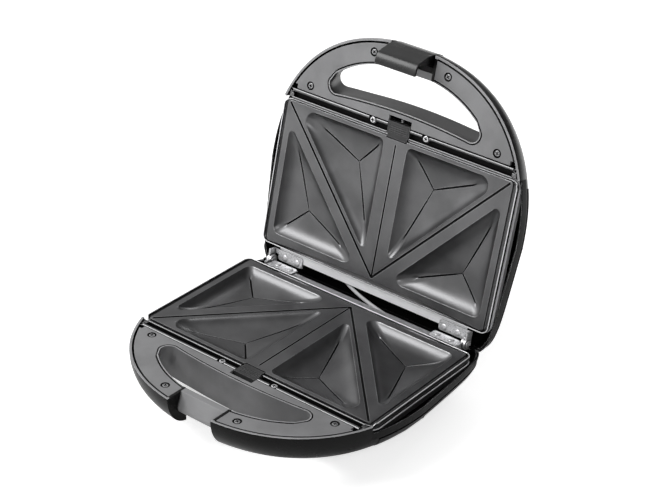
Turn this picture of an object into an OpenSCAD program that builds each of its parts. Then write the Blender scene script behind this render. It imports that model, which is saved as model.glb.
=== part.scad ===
// Sandwich toaster for two square sandwiches, each cut into two triangles.
// Two clam shells turn on one rear axis, and a hanging latch holds them shut.
// Origin: on the table, under the middle of the opened toaster's bounding box.
// +X is the user's right, -Y the user's side, +Z up.  The model stands open.

/* [Shells] */
// Overall width of both shells
shell_w = 236.6; // [230:0.2:244]
// From the hinge axis forward to the front edge of the handles
front_edge = 203.7; // [203:0.1:206]
// From the hinge axis back to the rear edge of the shells
rear_edge = 15; // [13:0.5:17]
// From the hinge axis forward to the widest place of the shells
widest_v = 80; // [76:1:84]
// Depth of a shell at its crown, from the parting plane
crown_depth = 40; // [39:0.5:43]
// Depth of a shell along the handle, from the parting plane
brim_depth = 28; // [26:0.5:30]
// Wall thickness of the shells
wall = 2; // [1.6:0.1:2.2]
// Gap that each half keeps from the parting plane
parting_gap = 0.3; // [0.2:0.05:0.4]

/* [Hinge] */
// How far the hinge axis lies under the parting plane
axis_drop = 2.2; // [2:0.1:2.6]
// How far the lid stands open
open_angle = 102.2; // [96:0.1:105]
// Distance of the hinge eyelets from the middle
eyelet_x = 95; // [94:0.5:96]

/* [Handle] */
// Width of the handle bars from the rim to the finger hole
bar_w = 19.5; // [18.5:0.5:21]
// From the hinge axis to the front edge of the strip behind the latch
strip_front = 188.4; // [187.6:0.1:189]
// Half the clear width of the latch notch
notch_half = 20.3; // [18:0.1:22]
// Thickness of the handle covers
cover_t = 2; // [1.6:0.1:2.4]
// From the hinge axis to the rear edge of the handle covers
cover_rear = 142.3; // [142:0.1:143]

/* [Cooking plates] */
// Width of a cooking plate over its flange
plate_w = 219; // [215:0.5:219]
// From the hinge axis to the front edge of a cooking plate
plate_front = 132.5; // [132.2:0.1:132.8]
// From the hinge axis to the rear edge of a cooking plate
plate_rear = 11.4; // [11.4:0.1:12.4]
// Depth of a sandwich pocket at its lowest point
pocket_depth = 8.4; // [7:0.1:9]

/* [Base] */
// Height of the parting plane over the table
parting_z = 46; // [45:0.5:50]

/* [Hidden] */
$fn = 48;

// Shells: superellipse outlines, rounder in front than behind
half_w = shell_w / 2;
front_reach = front_edge - widest_v;
rear_reach = rear_edge + widest_v;
front_power = 2.3;
rear_power = 8;
rear_taper = 0.06;          // narrowing of the sides towards the hinge
outline_points = 64;
brim_steps = 5;
brim_inset = [18, 22, 10];  // how far the brim's bottom lies inside its rim: sides, front, rear
side_rim = [7.1, 5];        // how far the side rims lie below the parting plane: base, lid
side_inset = 1.8;           // how far the upper side walls stand in from the outline
side_wall = 1.2;
side_deep = 12.3;           // depth at which the upper side walls meet the brim
side_v = [8.2, 134.2];      // distances from the hinge between which they stand
// rings of the crown: depth, then inset at the sides, at the front and at the rear
crown_rings = [[18, 8, 58, 5], [brim_depth, 11.5, 63, 6], [34, 17, 69, 9], [38, 25, 77, 14],
               [crown_depth, 33, 86, 21]];

// Placing of the two halves
hinge_z = parting_z - axis_drop;
lean = open_angle - 90;
lid_back = max([for (k = [1:brim_steps]) let (a = 90 * k / brim_steps)
    (front_edge - brim_inset[1] * (1 - cos(a))) * sin(lean) + (brim_depth * sin(a) + axis_drop) * cos(lean)]);
hinge_y = (front_edge - lid_back) / 2;
wedge_angle = open_angle / 2 + 1.5;   // slope of the rear walls that the open lid stops on
wedge_gap = 0.35;
window = [99.5, 12, 4.4, 9];          // rear opening for leaves and sleeve: half width, back, front, depth

// Handle
hole_corner_r = 7;
hole_corner = [62.7, 155.7];
hole_rear_v = 152.5;
hole_bow = 3.8;
strip_rear = 183;
tube_gap = 0.25;            // step from the cover's edge to the finger hole's wall
tube_wall = 1.6;
rim_gap = 0.5;
cover_top = -0.5;
cover_bottom = cover_top - cover_t;
cover_half_gap = notch_half + 2.1;
cover_corner = [99.2, 145.8];
cover_screw_at = [[87, 147.7], [34, 190]];
cheek_t = 2;
lip_depth = 16.2;           // underside of the base bar that the latch hooks under
lip_v = 191.2;
notch_depth = 16.5;

// Latch
latch_axis = [196, -8];
latch_half = notch_half - 1.8;
latch_pin_r = 1.5;
running_gap = 0.05;
latch_rib_x = 9;

// Rail and catch
rail_half = 103;
rail_bead = [140.2, -1.9, 1.5];   // distance from the axis, height, radius
rail_lip = [134.2, -1.25, 0.75];
rail_web = [-4.5, -5.3];
rail_screw_at = [24.8, 139.1];
rail_end_x = 105.9;
catch_half = 10;
catch_v = [130.9, 143.4];
recess_v = 147.6;
partition_v = [141.6, 144];
partition_top = -7;

// Cooking plate
land_half = 105.3;
land_v = [13.2, 132.2];
land_bow = 3.4;             // how far the land's rear edge bows in at the middle
plate_top = -parting_gap;
flange_top = -2.4;
lip_t = 0.9;                    // upturned edge of the flange
plate_bottom = -3.3;
corner_front = [103, 130];  // where the diagonal groove ends at the front corner
corner_rear = 17;           // where the diagonal grooves meet on the middle line
groove_w = 2;
groove_depth = 1.2;
land_gap = [4.2, 9];        // land between a diagonal groove and the front and the rear pocket
pocket_front = 128.3;
pocket_rear = 21.5;
pocket_inner = 11;
pocket_outer = 100;
front_apex = [35.4, 101];
rear_apex = [74.2, 47];
pocket_rings = [[9.5, 4.8], [6, 3.7], [2.5, 1.9]];   // inset and depth of the pocket's soft wall
bulge_wall = 2;

// Reflector pan: a shallow tray with a deeper tub
tray_half = 108.2;
tray_v = [10.3, 133.2];
tub_half = 99;
tub_v = [20, 128];
pan_t = 0.8;
tray_floor = -11.6;
pan_floor = -20;
pan_screw_at = [[84, 30], [84, 114]];
flange_w = [-3, -2.2];
flange_rear = [4.6, 0.8];   // rear edge of the flange between the leaves and under them
leaf_x = [67, 91.2];
leaf_v = [0.8, 9.4];
rivet_at = [[72, 4], [84.5, 4]];
hook_x = [35, 45];

// Heating element
element_r = 3.3;
element_w = -15.6;
element_legs = [45, 105];
element_ends = [-55, 92];
pin_end = 103;
clip_at = [-40, 20, 70];

// Hinge ears
ear_t = 1.5;
ear_r = 4.6;
base_ear_x = eyelet_x - 2;
lid_ear_x = eyelet_x + 0.1;
hinge_pin_r = 2;

// Feet, heels and fittings
foot_at = [[86, 47], [58, 110]];
foot_r = 7;
foot_top = -crown_depth - 1;
heel_at = [58, 12];
gland_at = [48, -31];
gland_bore_r = 3.6;
lens_at = [12, 106];

// ---------------------------------------------------------------- outlines

function lobe(c, power) = sign(c) * pow(abs(c), 2 / power);

// Shell outline seen from above, drawn in by the insets [sides, front, rear]
function outline(inset) = [for (i = [0:outline_points - 1])
    let (t = 360 * i / outline_points, ahead = sin(t) < 0,
         power = ahead ? front_power : rear_power,
         reach = ahead ? front_reach - inset[1] : rear_reach - inset[2],
         y = reach * lobe(sin(t), power),
         narrow = ahead ? 1 : 1 - rear_taper * y / rear_reach)
    [(half_w - inset[0]) * narrow * lobe(cos(t), power), y - widest_v]];

// Distance of the front outline from the hinge axis at a given x
function front_v(x, inset) = widest_v + (front_reach - inset)
    * pow(1 - pow(abs(x) / (half_w - inset), front_power), 1 / front_power);

// Finger hole, grown outwards by g
function hole_ring(g) = concat(
    [for (i = [0:16]) let (x = hole_corner[0] * (1 - i / 8))
        [x, -(hole_rear_v - g - hole_bow * pow(x / hole_corner[0], 2))]],
    [for (a = [105:15:210]) [-hole_corner[0], -hole_corner[1]] + (hole_corner_r + g) * [cos(a), sin(a)]],
    [for (i = [-8:8]) let (x = 7.2 * i) [x, -min(front_v(x, bar_w - g), strip_rear + g)]],
    [for (a = [-30:15:75]) [hole_corner[0], -hole_corner[1]] + (hole_corner_r + g) * [cos(a), sin(a)]]);

function unit(v) = v / norm(v);

// Convex polygon, counterclockwise, with its corners rounded to the radii r
function rounded(points, r, steps = 5) = let (n = len(points)) [for (i = [0:n - 1])
    let (p = points[i], to_last = unit(points[(i + n - 1) % n] - p), to_next = unit(points[(i + 1) % n] - p),
         half = acos(to_last * to_next) / 2, centre = p + unit(to_last + to_next) * r[i] / sin(half),
         first = p + to_last * r[i] / tan(half) - centre, last = p + to_next * r[i] / tan(half) - centre,
         a0 = atan2(first[1], first[0]), turn = (atan2(last[1], last[0]) - a0 + 540) % 360 - 180)
    for (k = [0:steps]) centre + r[i] * [cos(a0 + turn * k / steps), sin(a0 + turn * k / steps)]];

// Rectangle between two distances from the axis, with rounded corners
function box_ring(half, v, r) = rounded([[half, -v[1]], [half, -v[0]], [-half, -v[0]], [-half, -v[1]]],
    [r, r, r, r]);

// ---------------------------------------------------------------- solids

// Solid through counterclockwise rings of equal length; each layer is [ring, height], lowest first
module loft(layers) {
    n = len(layers[0][0]);
    m = len(layers);
    polyhedron(points = [for (l = layers) for (p = l[0]) [p[0], p[1], l[1]]],
        faces = concat([[for (j = [0:n - 1]) j]], [[for (j = [n - 1:-1:0]) (m - 1) * n + j]],
            [for (i = [0:m - 2]) for (j = [0:n - 1]) let (k = (j + 1) % n)
                [i * n + j, (i + 1) * n + j, (i + 1) * n + k, i * n + k]]));
}

// Tube of radius r along a path that never runs parallel to up
module tube_along(path, r, up, sides = 8) {
    n = len(path);
    rings = [for (i = [0:n - 1])
        let (t = unit(path[min(i + 1, n - 1)] - path[max(i - 1, 0)]), a = unit(cross(t, up)), b = cross(a, t))
        for (j = [0:sides - 1]) path[i] + r * (a * cos(360 * j / sides) + b * sin(360 * j / sides))];
    polyhedron(points = rings, faces = concat([[for (j = [sides - 1:-1:0]) j]],
        [[for (j = [0:sides - 1]) (n - 1) * sides + j]],
        [for (i = [0:n - 2]) for (j = [0:sides - 1]) for (h = [0, 1]) let (a = i * sides, b = a + sides,
                k = (j + 1) % sides)
            h == 0 ? [a + j, a + k, b + k] : [a + j, b + k, b + j]]));
}

// Box between two corners, each given as [x, distance from the axis, height]
module block(low, high) {
    translate([low[0], -high[1], low[2]]) cube([high[0] - low[0], high[1] - low[1], high[2] - low[2]]);
}

// Upright cylinder at [x, distance from the axis], between two heights
module post(at, r, bottom, top) {
    translate([at[0], -at[1], bottom]) cylinder(r = r, h = top - bottom);
}

// Cylinder along X at [distance from the axis, height]
module barrel(at, r, x0, x1) {
    translate([x0, -at[0], at[1]]) rotate([0, 90, 0]) cylinder(r = r, h = x1 - x0);
}

// Profile of [distance from the axis, height] points drawn out along X
module across(points, x0, x1) {
    translate([x0, 0, 0]) rotate([90, 0, 90]) linear_extrude(x1 - x0)
        polygon([for (p = points) [-p[0], p[1]]]);
}

module slab(ring, bottom, top) {
    translate([0, 0, bottom]) linear_extrude(top - bottom) polygon(ring);
}

module both_sides() {
    children();
    mirror([1, 0, 0]) children();
}

// Cross-head screw: the head stands on the seat and the shank runs down from it
module screw(at, seat, length, head_r = 2.8, head_h = 0.9) {
    difference() {
        post(at, head_r, seat, seat + head_h);
        for (a = [45, 135]) translate([at[0], -at[1], seat + head_h - 0.6]) rotate(a)
            translate([-1.6, -0.35, 0]) cube([3.2, 0.7, 2]);
    }
    post(at, 1.45, seat - length, seat);
}

// Base half: the parting plane is z = 0, and the hinge axis stands at y = 0
module in_base() {
    translate([0, hinge_y, parting_z]) children();
}

// Lid half: modelled like the base half, then turned over and opened
module in_lid() {
    translate([0, hinge_y, hinge_z]) rotate([-open_angle, 0, 0]) translate([0, 0, axis_drop])
        mirror([0, 0, 1]) children();
}

// ---------------------------------------------------------------- housings

// Body of a shell, drawn in by t on every side
module shell_form(t, top) {
    deep = brim_depth - t;
    loft(concat([for (k = [brim_steps:-1:1]) let (a = 90 * k / brim_steps)
        [outline([for (b = brim_inset) t + b * (1 - cos(a))]), -deep * sin(a)]],
        [[outline([t, t, t]), min(top, 0)]], top > 0 ? [[outline([t, t, t]), top]] : []));
    loft([for (k = [len(crown_rings) - 1:-1:0]) let (c = crown_rings[k])
        [outline([c[1] + t, c[2] + t, c[3] + t]), k == 0 ? -c[0] : t - c[0]]]);
}

// Space behind the hinge that the other half needs when the lid stands open
module rear_wedge(axis_w, grow) {
    translate([-half_w - 5, -grow, axis_w]) {
        rotate([-wedge_angle, 0, 0]) translate([0, -1, -wedge_gap]) cube([shell_w + 10, 80, 80]);
        translate([0, -0.5, -wedge_gap]) cube([shell_w + 10, 80, 80]);
    }
}

// Upper part of the side walls, which stand in from the outline
module side_walls() {
    translate([0, 0, -side_deep - 3]) linear_extrude(side_deep + 2) both_sides() difference() {
        intersection() {
            polygon(outline([side_inset, 0, 0]));
            translate([rail_end_x + 0.3, -side_v[1] - 1.8]) square([20, side_v[1] - side_v[0] + 5]);
        }
        polygon(outline([side_inset + side_wall, 0, 0]));
    }
}

// Walls and bosses that both housings have inside
module inner_walls() {
    side_walls();
    slab(hole_ring(tube_gap + tube_wall), -brim_depth, cover_bottom);
    block([-half_w, partition_v[0], -crown_depth], [half_w, partition_v[1], partition_top]);
    both_sides() {
        block([rail_end_x + 0.3, 134.2, -brim_depth], [half_w, 136, -1.2]);
        block([notch_half, strip_rear - tube_wall, -brim_depth],
              [notch_half + cheek_t, front_edge + 2, -parting_gap]);
        for (at = cover_screw_at) post(at, 4, -brim_depth, cover_bottom);
        for (at = pan_screw_at) post(at, 4.5, -crown_depth, pan_floor - pan_t);
        post(rail_screw_at, 3.6, -brim_depth, rail_web[1]);
        post([98, 137.4], 2.4, -brim_depth, rail_web[1]);
    }
}

// First child: more inner walls.  Second child: cuts.  Third child: what is added outside.
module housing(axis_w, rim) {
    difference() {
        union() {
            shell_form(0, -parting_gap);
            children(2);
        }
        difference() {
            shell_form(wall, 5);
            rear_wedge(axis_w, wall);
            inner_walls();
            children(0);
        }
        rear_wedge(axis_w, 0);
        block([-window[0], -window[1], -window[3]], [window[0], window[2], 5]);
        slab(hole_ring(tube_gap), -crown_depth - 5, 5);
        both_sides() {
            block([rail_end_x + 0.3, -rear_edge - 5, -rim], [half_w + 1, side_v[1], 1]);
            difference() {
                block([rail_end_x + 0.3, side_v[0], -side_deep], [half_w + 1, side_v[1], 0]);
                slab(outline([side_inset, 0, 0]), -side_deep - 1, 1);
            }
            for (at = cover_screw_at) post(at, 1.5, -brim_depth + 6, 0);
            for (at = pan_screw_at) post(at, 1.5, pan_floor - 10.6, 0);
            post(rail_screw_at, 1.5, -brim_depth + 6, 0);
        }
        children(1);
    }
}

module base_housing() {
    color("#1a1a1b") in_base() housing(-axis_drop, side_rim[0]) {
        union() {
            across([[strip_rear - 2, -parting_gap], [strip_front, -parting_gap], [lip_v, -lip_depth],
                    [strip_rear - 2, -lip_depth]], -notch_half, notch_half);
            both_sides() for (at = foot_at) post(at, 5, foot_top, foot_top + 12);
        }
        union() {
            across([[strip_front, 1], [strip_front, -parting_gap], [lip_v, -lip_depth],
                    [strip_rear - 3, -lip_depth], [strip_rear - 3, -60], [230, -60], [230, 1]],
                   -notch_half, notch_half);
            block([2 - notch_half, strip_rear + 1.2, -lip_depth - 1], [notch_half - 2, strip_front - 2, -3.5]);
            both_sides() for (at = foot_at) post(at, 1.5, -60, foot_top + 11);
            translate([gland_at[0], 0, gland_at[1]]) rotate([-90, 0, 0]) cylinder(r = 5.5, h = 60);
        }
        both_sides() {
            for (at = foot_at) post(at, foot_r + 1.2, foot_top, -brim_depth - 2);
            post(heel_at, 6, -parting_z, -crown_depth + 4);
        }
    }
}

module lid_housing() {
    color("#1a1a1b") in_lid() housing(axis_drop, side_rim[1]) {
        union() {
            across([[strip_rear - 2, -parting_gap], [strip_front, -parting_gap], [strip_front, -notch_depth],
                    [front_edge, -notch_depth], [front_edge, -notch_depth - 1.6],
                    [strip_front - 1.8, -notch_depth - 1.6], [strip_front - 1.8, -2.4], [strip_rear - 2, -2.4]],
                   -notch_half, notch_half);
            both_sides() post(lens_at, 5.4, -crown_depth + 1, -crown_depth + 9);
        }
        union() {
            block([-notch_half, strip_front, -notch_depth], [notch_half, 230, 1]);
            barrel(latch_axis, latch_pin_r, -notch_half - cheek_t - 0.1, notch_half + cheek_t + 0.1);
            both_sides() post(lens_at, 3.7, -60, -crown_depth + 12);
        }
        union() {}
    }
}

// Flat U-shaped cover of the handle, let into the shell
module handle_cover() {
    color("#3a3a3c") difference() {
        translate([0, 0, cover_bottom]) linear_extrude(cover_t) difference() {
            polygon(outline([1, 1, 1] * (wall + rim_gap)));
            translate([-half_w, -cover_rear]) square([shell_w, front_edge]);
            polygon(hole_ring(0));
            translate([-cover_half_gap, -front_edge - 1])
                square([2 * cover_half_gap, front_edge + 2 - strip_rear]);
            translate([-catch_half - 0.4, -recess_v]) square([2 * catch_half + 0.8, 6]);
            for (s = [-1, 1]) translate([s * (cover_corner[0] + 20), 10 - cover_corner[1]])
                square([40, 20], center = true);
        }
        both_sides() for (at = cover_screw_at) {
            post(at, 1.8, cover_bottom - 1, 1);
            post(at, 3.5, cover_top - 1, 1);
        }
    }
}

module cover_screws() {
    color("#2a2a2c") both_sides() for (at = cover_screw_at) screw(at, cover_top - 1, 10);
}

// ---------------------------------------------------------------- rails and catches

// Channel rail along the front of the plate, with a gap for the catch
module front_rail() {
    color("silver") difference() {
        union() {
            block([-rail_half, rail_lip[0] - 0.4, rail_web[1]], [rail_half, rail_bead[0] + 0.8, rail_web[0]]);
            for (b = [rail_bead, rail_lip]) {
                barrel(b, b[2], -rail_half, rail_half);
                block([-rail_half, b[0] - 0.4, rail_web[1]], [rail_half, b[0] + 0.4, b[1]]);
            }
            both_sides() {
                block([rail_half - 1, 133.9, rail_web[1]], [rail_end_x, 137.4, -1.2]);
                post(rail_screw_at, 2.4, rail_web[1], -2.4);
            }
        }
        block([-catch_half - 0.4, 130, rail_web[0]], [catch_half + 0.4, 145, 2]);
        both_sides() {
            post(rail_screw_at, 3, -2.4, 2);
            post(rail_screw_at, 1.6, rail_web[1] - 1, 2);
        }
    }
}

module rail_screws() {
    color("silver") both_sides() screw(rail_screw_at, -2.4, 12);
}

// Slides towards the handle to let the cooking plate go
module plate_catch() {
    color("#6c6c70") difference() {
        union() {
            block([-catch_half, 133.7, -4.2], [catch_half, catch_v[1], plate_top - 0.2]);
            block([1 - catch_half, catch_v[0], -2], [catch_half - 1, 134.5, plate_top - 0.2]);
            block([-4, 141.5, -6], [4, catch_v[1], -4]);
        }
        for (v = [136:1.6:141]) block([2 - catch_half, v, -1], [catch_half - 2, v + 0.7, 1]);
    }
}

// Coil from the catch to the wall of the finger hole
module catch_spring() {
    turns = 5;
    from = catch_v[1] + 0.4;
    to = hole_rear_v - tube_gap - tube_wall - 0.4;
    color("silver") translate([0, 0, -4.7]) tube_along([for (i = [0:12 * turns])
        [cos(30 * i), -from - (to - from) * i / (12 * turns), sin(30 * i)]], 0.3, [0, 1, 0], 6);
}

// ---------------------------------------------------------------- cooking plates

diagonal = unit(corner_front - [0, corner_rear]);
slope = diagonal[1] / diagonal[0];
front_start = corner_rear + land_gap[0] / diagonal[0];
rear_start = corner_rear - land_gap[1] / diagonal[0];

// Right-hand pockets in plan, counterclockwise, and the rounding of their corners
front_pocket = [[pocket_inner, -pocket_front], [(pocket_front - front_start) / slope, -pocket_front],
                [pocket_inner, -front_start - slope * pocket_inner]];
rear_pocket = [[pocket_outer, -pocket_rear], [(pocket_rear - rear_start) / slope, -pocket_rear],
               [pocket_outer, -rear_start - slope * pocket_outer]];
pockets = [[front_pocket, [5, 8, 3], front_apex], [rear_pocket, [6, 5.5, 3.7], rear_apex]];

function inradius(t) = let (a = norm(t[1] - t[2]), b = norm(t[2] - t[0]), c = norm(t[0] - t[1])) (b + c - a) / 2;

// Outline of a pocket, moved in by d towards its lowest point
function pocket_ring(p, d) = let (apex = [p[2][0], -p[2][1]], k = 1 - d / inradius(p[0]))
    [for (q = rounded(p[0], p[1], 4)) apex + (q - apex) * k];

module pocket_cut(p) {
    loft(concat([[pocket_ring(p, inradius(p[0]) - 0.4), -pocket_depth]],
        [for (r = pocket_rings) [pocket_ring(p, r[0]), -r[1]]],
        [[pocket_ring(p, 0), plate_top], [pocket_ring(p, 0), 1]]));
}

module groove(from, to) {
    along = to - from;
    translate([from[0], -from[1], -groove_depth]) rotate(atan2(-along[1], along[0]))
        translate([0, -groove_w / 2, 0]) cube([norm(along), groove_w, 3]);
}

// Land with a rear edge that bows in towards the middle
function land_ring() = concat(
    [[-land_half, -land_v[1] + 2], [2 - land_half, -land_v[1]], [land_half - 2, -land_v[1]],
     [land_half, -land_v[1] + 2], [land_half, -land_v[0] - 2.5]],
    [for (i = [-8:8]) let (x = -12.8 * i) [x, -land_v[0] - land_bow * (1 - pow(x / land_half, 2))]],
    [[-land_half, -land_v[0] - 2.5]]);

module cooking_plate() {
    color("#77777a") difference() {
        union() {
            slab(land_ring(), flange_top, plate_top);
            slab(box_ring(plate_w / 2, [plate_rear, plate_front], 6), plate_bottom, flange_top);
            difference() {
                slab(box_ring(plate_w / 2, [plate_rear, plate_front], 6), flange_top, plate_top);
                slab(box_ring(plate_w / 2 - lip_t, [plate_rear + lip_t, plate_front + 9], 5.1), flange_top - 1, 1);
            }
            both_sides() {
                for (p = pockets) slab(pocket_ring(p, -0.8), -pocket_depth - bulge_wall, plate_bottom);
                block([hook_x[0], tray_v[0] - 1.4, plate_bottom - 1.3], [hook_x[1], plate_rear + 4, plate_bottom]);
            }
        }
        both_sides() {
            for (p = pockets) pocket_cut(p);
            groove([0, corner_rear - 0.8], corner_front);
        }
        groove([0, corner_rear - 1.5], [0, 127]);
        block([0.4 - catch_half, catch_v[0] - 0.8, flange_top], [catch_half - 0.4, plate_front + 1, 2]);
    }
}

// ---------------------------------------------------------------- pans and heating

module reflector_pan() {
    color("silver") difference() {
        union() {
            slab(box_ring(tray_half, tray_v, 10), tray_floor - pan_t, plate_bottom);
            slab(box_ring(tub_half, tub_v, 10), pan_floor - pan_t, tray_floor);
            slab(box_ring(tray_half + 1.4, [tray_v[0] - 0.4, tray_v[1] + 0.2], 10.5), -6.4, -5.6);
            block([-leaf_x[1], flange_rear[0], flange_w[0]], [leaf_x[1], tray_v[0] + pan_t, flange_w[1]]);
            both_sides() block([leaf_x[0], flange_rear[1], flange_w[0]], [leaf_x[1], 8, flange_w[1]]);
            block([-leaf_x[1], tray_v[0], -8], [leaf_x[1], tray_v[0] + pan_t, flange_w[1]]);
        }
        slab(box_ring(tray_half - pan_t, [tray_v[0] + pan_t, tray_v[1] - pan_t], 9.2), tray_floor, 1);
        slab(box_ring(tub_half - pan_t, [tub_v[0] + pan_t, tub_v[1] - pan_t], 9.2), pan_floor, 1);
        both_sides() {
            block([hook_x[0] - 0.5, 6, plate_bottom - 1.7], [hook_x[1] + 0.5, plate_rear + 4, flange_w[0]]);
            for (at = pan_screw_at) post(at, 1.8, pan_floor - 2, 0);
            for (at = rivet_at) post(at, 1.55, -5, 0);
        }
        for (v = element_legs) barrel([v, element_w], 2.6, tub_half - 3, tub_half + 3);
    }
}

module pan_screws() {
    color("silver") both_sides() for (at = pan_screw_at) screw(at, pan_floor, 10, 3, 1.6);
}

// Sheathed U-shaped element with a terminal pin at each end
module heating_element() {
    bend = (element_legs[1] - element_legs[0]) / 2;
    color("#5a4a40") {
        translate([element_ends[0], -element_legs[0] - bend, element_w]) rotate(90)
            rotate_extrude(angle = 180) translate([bend, 0]) circle(r = element_r);
        for (v = element_legs) {
            barrel([v, element_w], element_r, element_ends[0], element_ends[1]);
            barrel([v, element_w], 1.4, element_ends[1], pin_end);
        }
    }
}

// Straps that hold the element over the pan's floor
module element_clips() {
    color("silver") for (x = clip_at) for (v = element_legs) difference() {
        block([x - 4, v - 5, pan_floor], [x + 4, v + 5, element_w + element_r + 0.5]);
        barrel([v, element_w], element_r, x - 5, x + 5);
        block([x - 5, v - element_r, pan_floor - 1], [x + 5, v + element_r, element_w]);
    }
}

// ---------------------------------------------------------------- base fittings

module rubber_feet() {
    color("#202020") in_base() both_sides() for (at = foot_at) difference() {
        post(at, foot_r, -parting_z, foot_top);
        post(at, 3.6, -parting_z - 1, -parting_z + 2.8);
        post(at, 1.8, -parting_z, foot_top + 1);
    }
}

module foot_screws() {
    color("silver") in_base() both_sides() for (at = foot_at) {
        post(at, 3.2, -parting_z + 1.2, -parting_z + 2.8);
        post(at, 1.45, -parting_z + 2.8, foot_top + 9);
    }
}

// Bush that a mains cord leaves by
module cord_gland() {
    color("#101010") in_base() translate([gland_at[0], 0, gland_at[1]]) rotate([-90, 0, 0]) difference() {
        union() {
            translate([0, 0, 3]) cylinder(r = 5.4, h = 8);
            translate([0, 0, 9.4]) cylinder(r = 6.8, h = 2.6);
        }
        translate([0, 0, 1]) cylinder(r = gland_bore_r, h = 20);
    }
}

module terminal_block() {
    color("ivory") in_base() difference() {
        block([-6, 12, -crown_depth + wall], [30, 22, -28]);
        for (x = [0:8:24]) {
            post([x, 17], 1.6, -32, -27);
            translate([x, -30, -33.5]) rotate([-90, 0, 0]) cylinder(r = 1.6, h = 30);
        }
    }
}

// Round snap-action thermostat under the pan, with two blade terminals
module thermostat() {
    under = pan_floor - pan_t;
    color("#d8d2c0") in_base() translate([10, 0, 0]) {
        post([0, 75], 8, under - 6, under);
        both_sides() {
            block([7, 72, under - 5], [14, 78, under - 4]);
            block([13, 72, under - 11], [14, 78, under - 4]);
        }
    }
}

module thermal_fuse() {
    color("#e8e4da") in_base() {
        barrel([75, pan_floor - pan_t - 2.3], 2.3, -67, -53);
        barrel([75, pan_floor - pan_t - 2.3], 0.6, -75, -45);
    }
}

// ---------------------------------------------------------------- hinge

// Riveted plate with an arm and an ear round the hinge axis
module hinge_leaf(axis_w, ear_x) {
    top = flange_w[1] + 1;
    difference() {
        union() {
            block([leaf_x[0], leaf_v[0], flange_w[1]], [leaf_x[1], leaf_v[1], top]);
            block([leaf_x[1] - 1, 5.4, flange_w[1]], [ear_x + ear_t, leaf_v[1], top]);
            barrel([0, axis_w], ear_r, ear_x, ear_x + ear_t);
            block([ear_x, 0, min(axis_w - 2.8, flange_w[1])], [ear_x + ear_t, leaf_v[1], max(axis_w + 2.8, top)]);
        }
        barrel([0, axis_w], hinge_pin_r + running_gap, ear_x - 1, ear_x + ear_t + 1);
        for (at = rivet_at) post(at, 1.55, flange_w[1] - 1, top + 1);
    }
}

module hinge_leaf_base_right() { color("silver") in_base() hinge_leaf(-axis_drop, base_ear_x); }
module hinge_leaf_base_left() { color("silver") in_base() mirror([1, 0, 0]) hinge_leaf(-axis_drop, base_ear_x); }
module hinge_leaf_lid_right() { color("silver") in_lid() hinge_leaf(axis_drop, lid_ear_x); }
module hinge_leaf_lid_left() { color("silver") in_lid() mirror([1, 0, 0]) hinge_leaf(axis_drop, lid_ear_x); }

module hinge_rivets() {
    color("silver") both_sides() for (at = rivet_at) {
        post(at, 2.5, flange_w[1] + 1, flange_w[1] + 1.7);
        post(at, 1.5, flange_w[0], flange_w[1] + 1);
        post(at, 2.2, flange_w[0] - 0.6, flange_w[0]);
    }
}

module hinge_pins() {
    color("silver") in_base() both_sides() {
        barrel([0, -axis_drop], hinge_pin_r, base_ear_x - 0.3, lid_ear_x + ear_t + 0.3);
        barrel([0, -axis_drop], 3.2, base_ear_x - 1.1, base_ear_x - 0.2);
        barrel([0, -axis_drop], 3.2, lid_ear_x + ear_t + 0.2, lid_ear_x + ear_t + 1.1);
    }
}

// ---------------------------------------------------------------- lid fittings

module indicator_lenses() {
    color("red") in_lid() both_sides() difference() {
        union() {
            post(lens_at, 3.6, -crown_depth - 0.6, -crown_depth + 9);
            post(lens_at, 4.8, -crown_depth - 0.8, -crown_depth);
        }
        post(lens_at, 2.7, -crown_depth + 1.2, -crown_depth + 10);
    }
}

module neon_lamps() {
    color("orange") in_lid() both_sides() {
        post(lens_at, 2.6, -crown_depth + 1.4, -crown_depth + 12);
        for (s = [-1, 1]) post(lens_at + [s, 0], 0.35, -crown_depth + 12, -crown_depth + 17);
    }
}

// Hanging latch: a curled channel with a hook along its free edge
latch_skin = [[200.6, -14], [202.1, -8], [202.6, 0.3], [201.8, 5.2], [199.6, 11.1], [197.5, 16.6], [195.2, 18.9],
    [192, 20], [188.1, 20.3], [188, 18.2], [191.6, 17.8], [194.1, 16.9], [195.5, 15.2], [197.3, 10.3],
    [199.4, 4.7], [200.1, 0.3], [199.7, -8], [198.2, -14]];
latch_rib = [[200, -12], [201.6, 0], [200.4, 5], [197.9, 11], [196.3, 15.5], [194.9, 12], [194.2, 2],
    [192.6, -6], [194.5, -12]];

module latch() {
    color("#2c2c2e") in_lid() difference() {
        union() {
            across(latch_skin, -latch_half, latch_half);
            both_sides() across(latch_rib, latch_half - 2.4, latch_half);
            for (x = [-latch_rib_x, 0, latch_rib_x]) across(latch_rib, x - 0.7, x + 0.7);
            barrel(latch_axis, 4, -latch_half, latch_half);
        }
        barrel(latch_axis, latch_pin_r + running_gap, -latch_half - 1, latch_half + 1);
    }
}

module latch_pin() {
    color("silver") in_lid() barrel(latch_axis, latch_pin_r, -notch_half - cheek_t, notch_half + cheek_t);
}

// Sleeve that carries the wires from the base to the lid
sleeve_path = [[-34, 17.5, 0.8], [-31.5, 13.8, 0.4], [-28, 10.6, 0], [-23, 7.8, -0.6], [-16.5, 5.4, -1.4],
    [-9, 3.8, -2.8], [-1, 2.4, -4.4], [8, 0.8, -5.6], [17, -0.8, -6.2], [25, -2, -6.3], [32, -3.4, -7.4],
    [37, -6.5, -10], [39, -9, -14]];

module wiring_sleeve() {
    color("#d8d8d8") in_base() tube_along(sleeve_path, 1.4, [0, 0, 1]);
}

// ---------------------------------------------------------------- nodes

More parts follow.
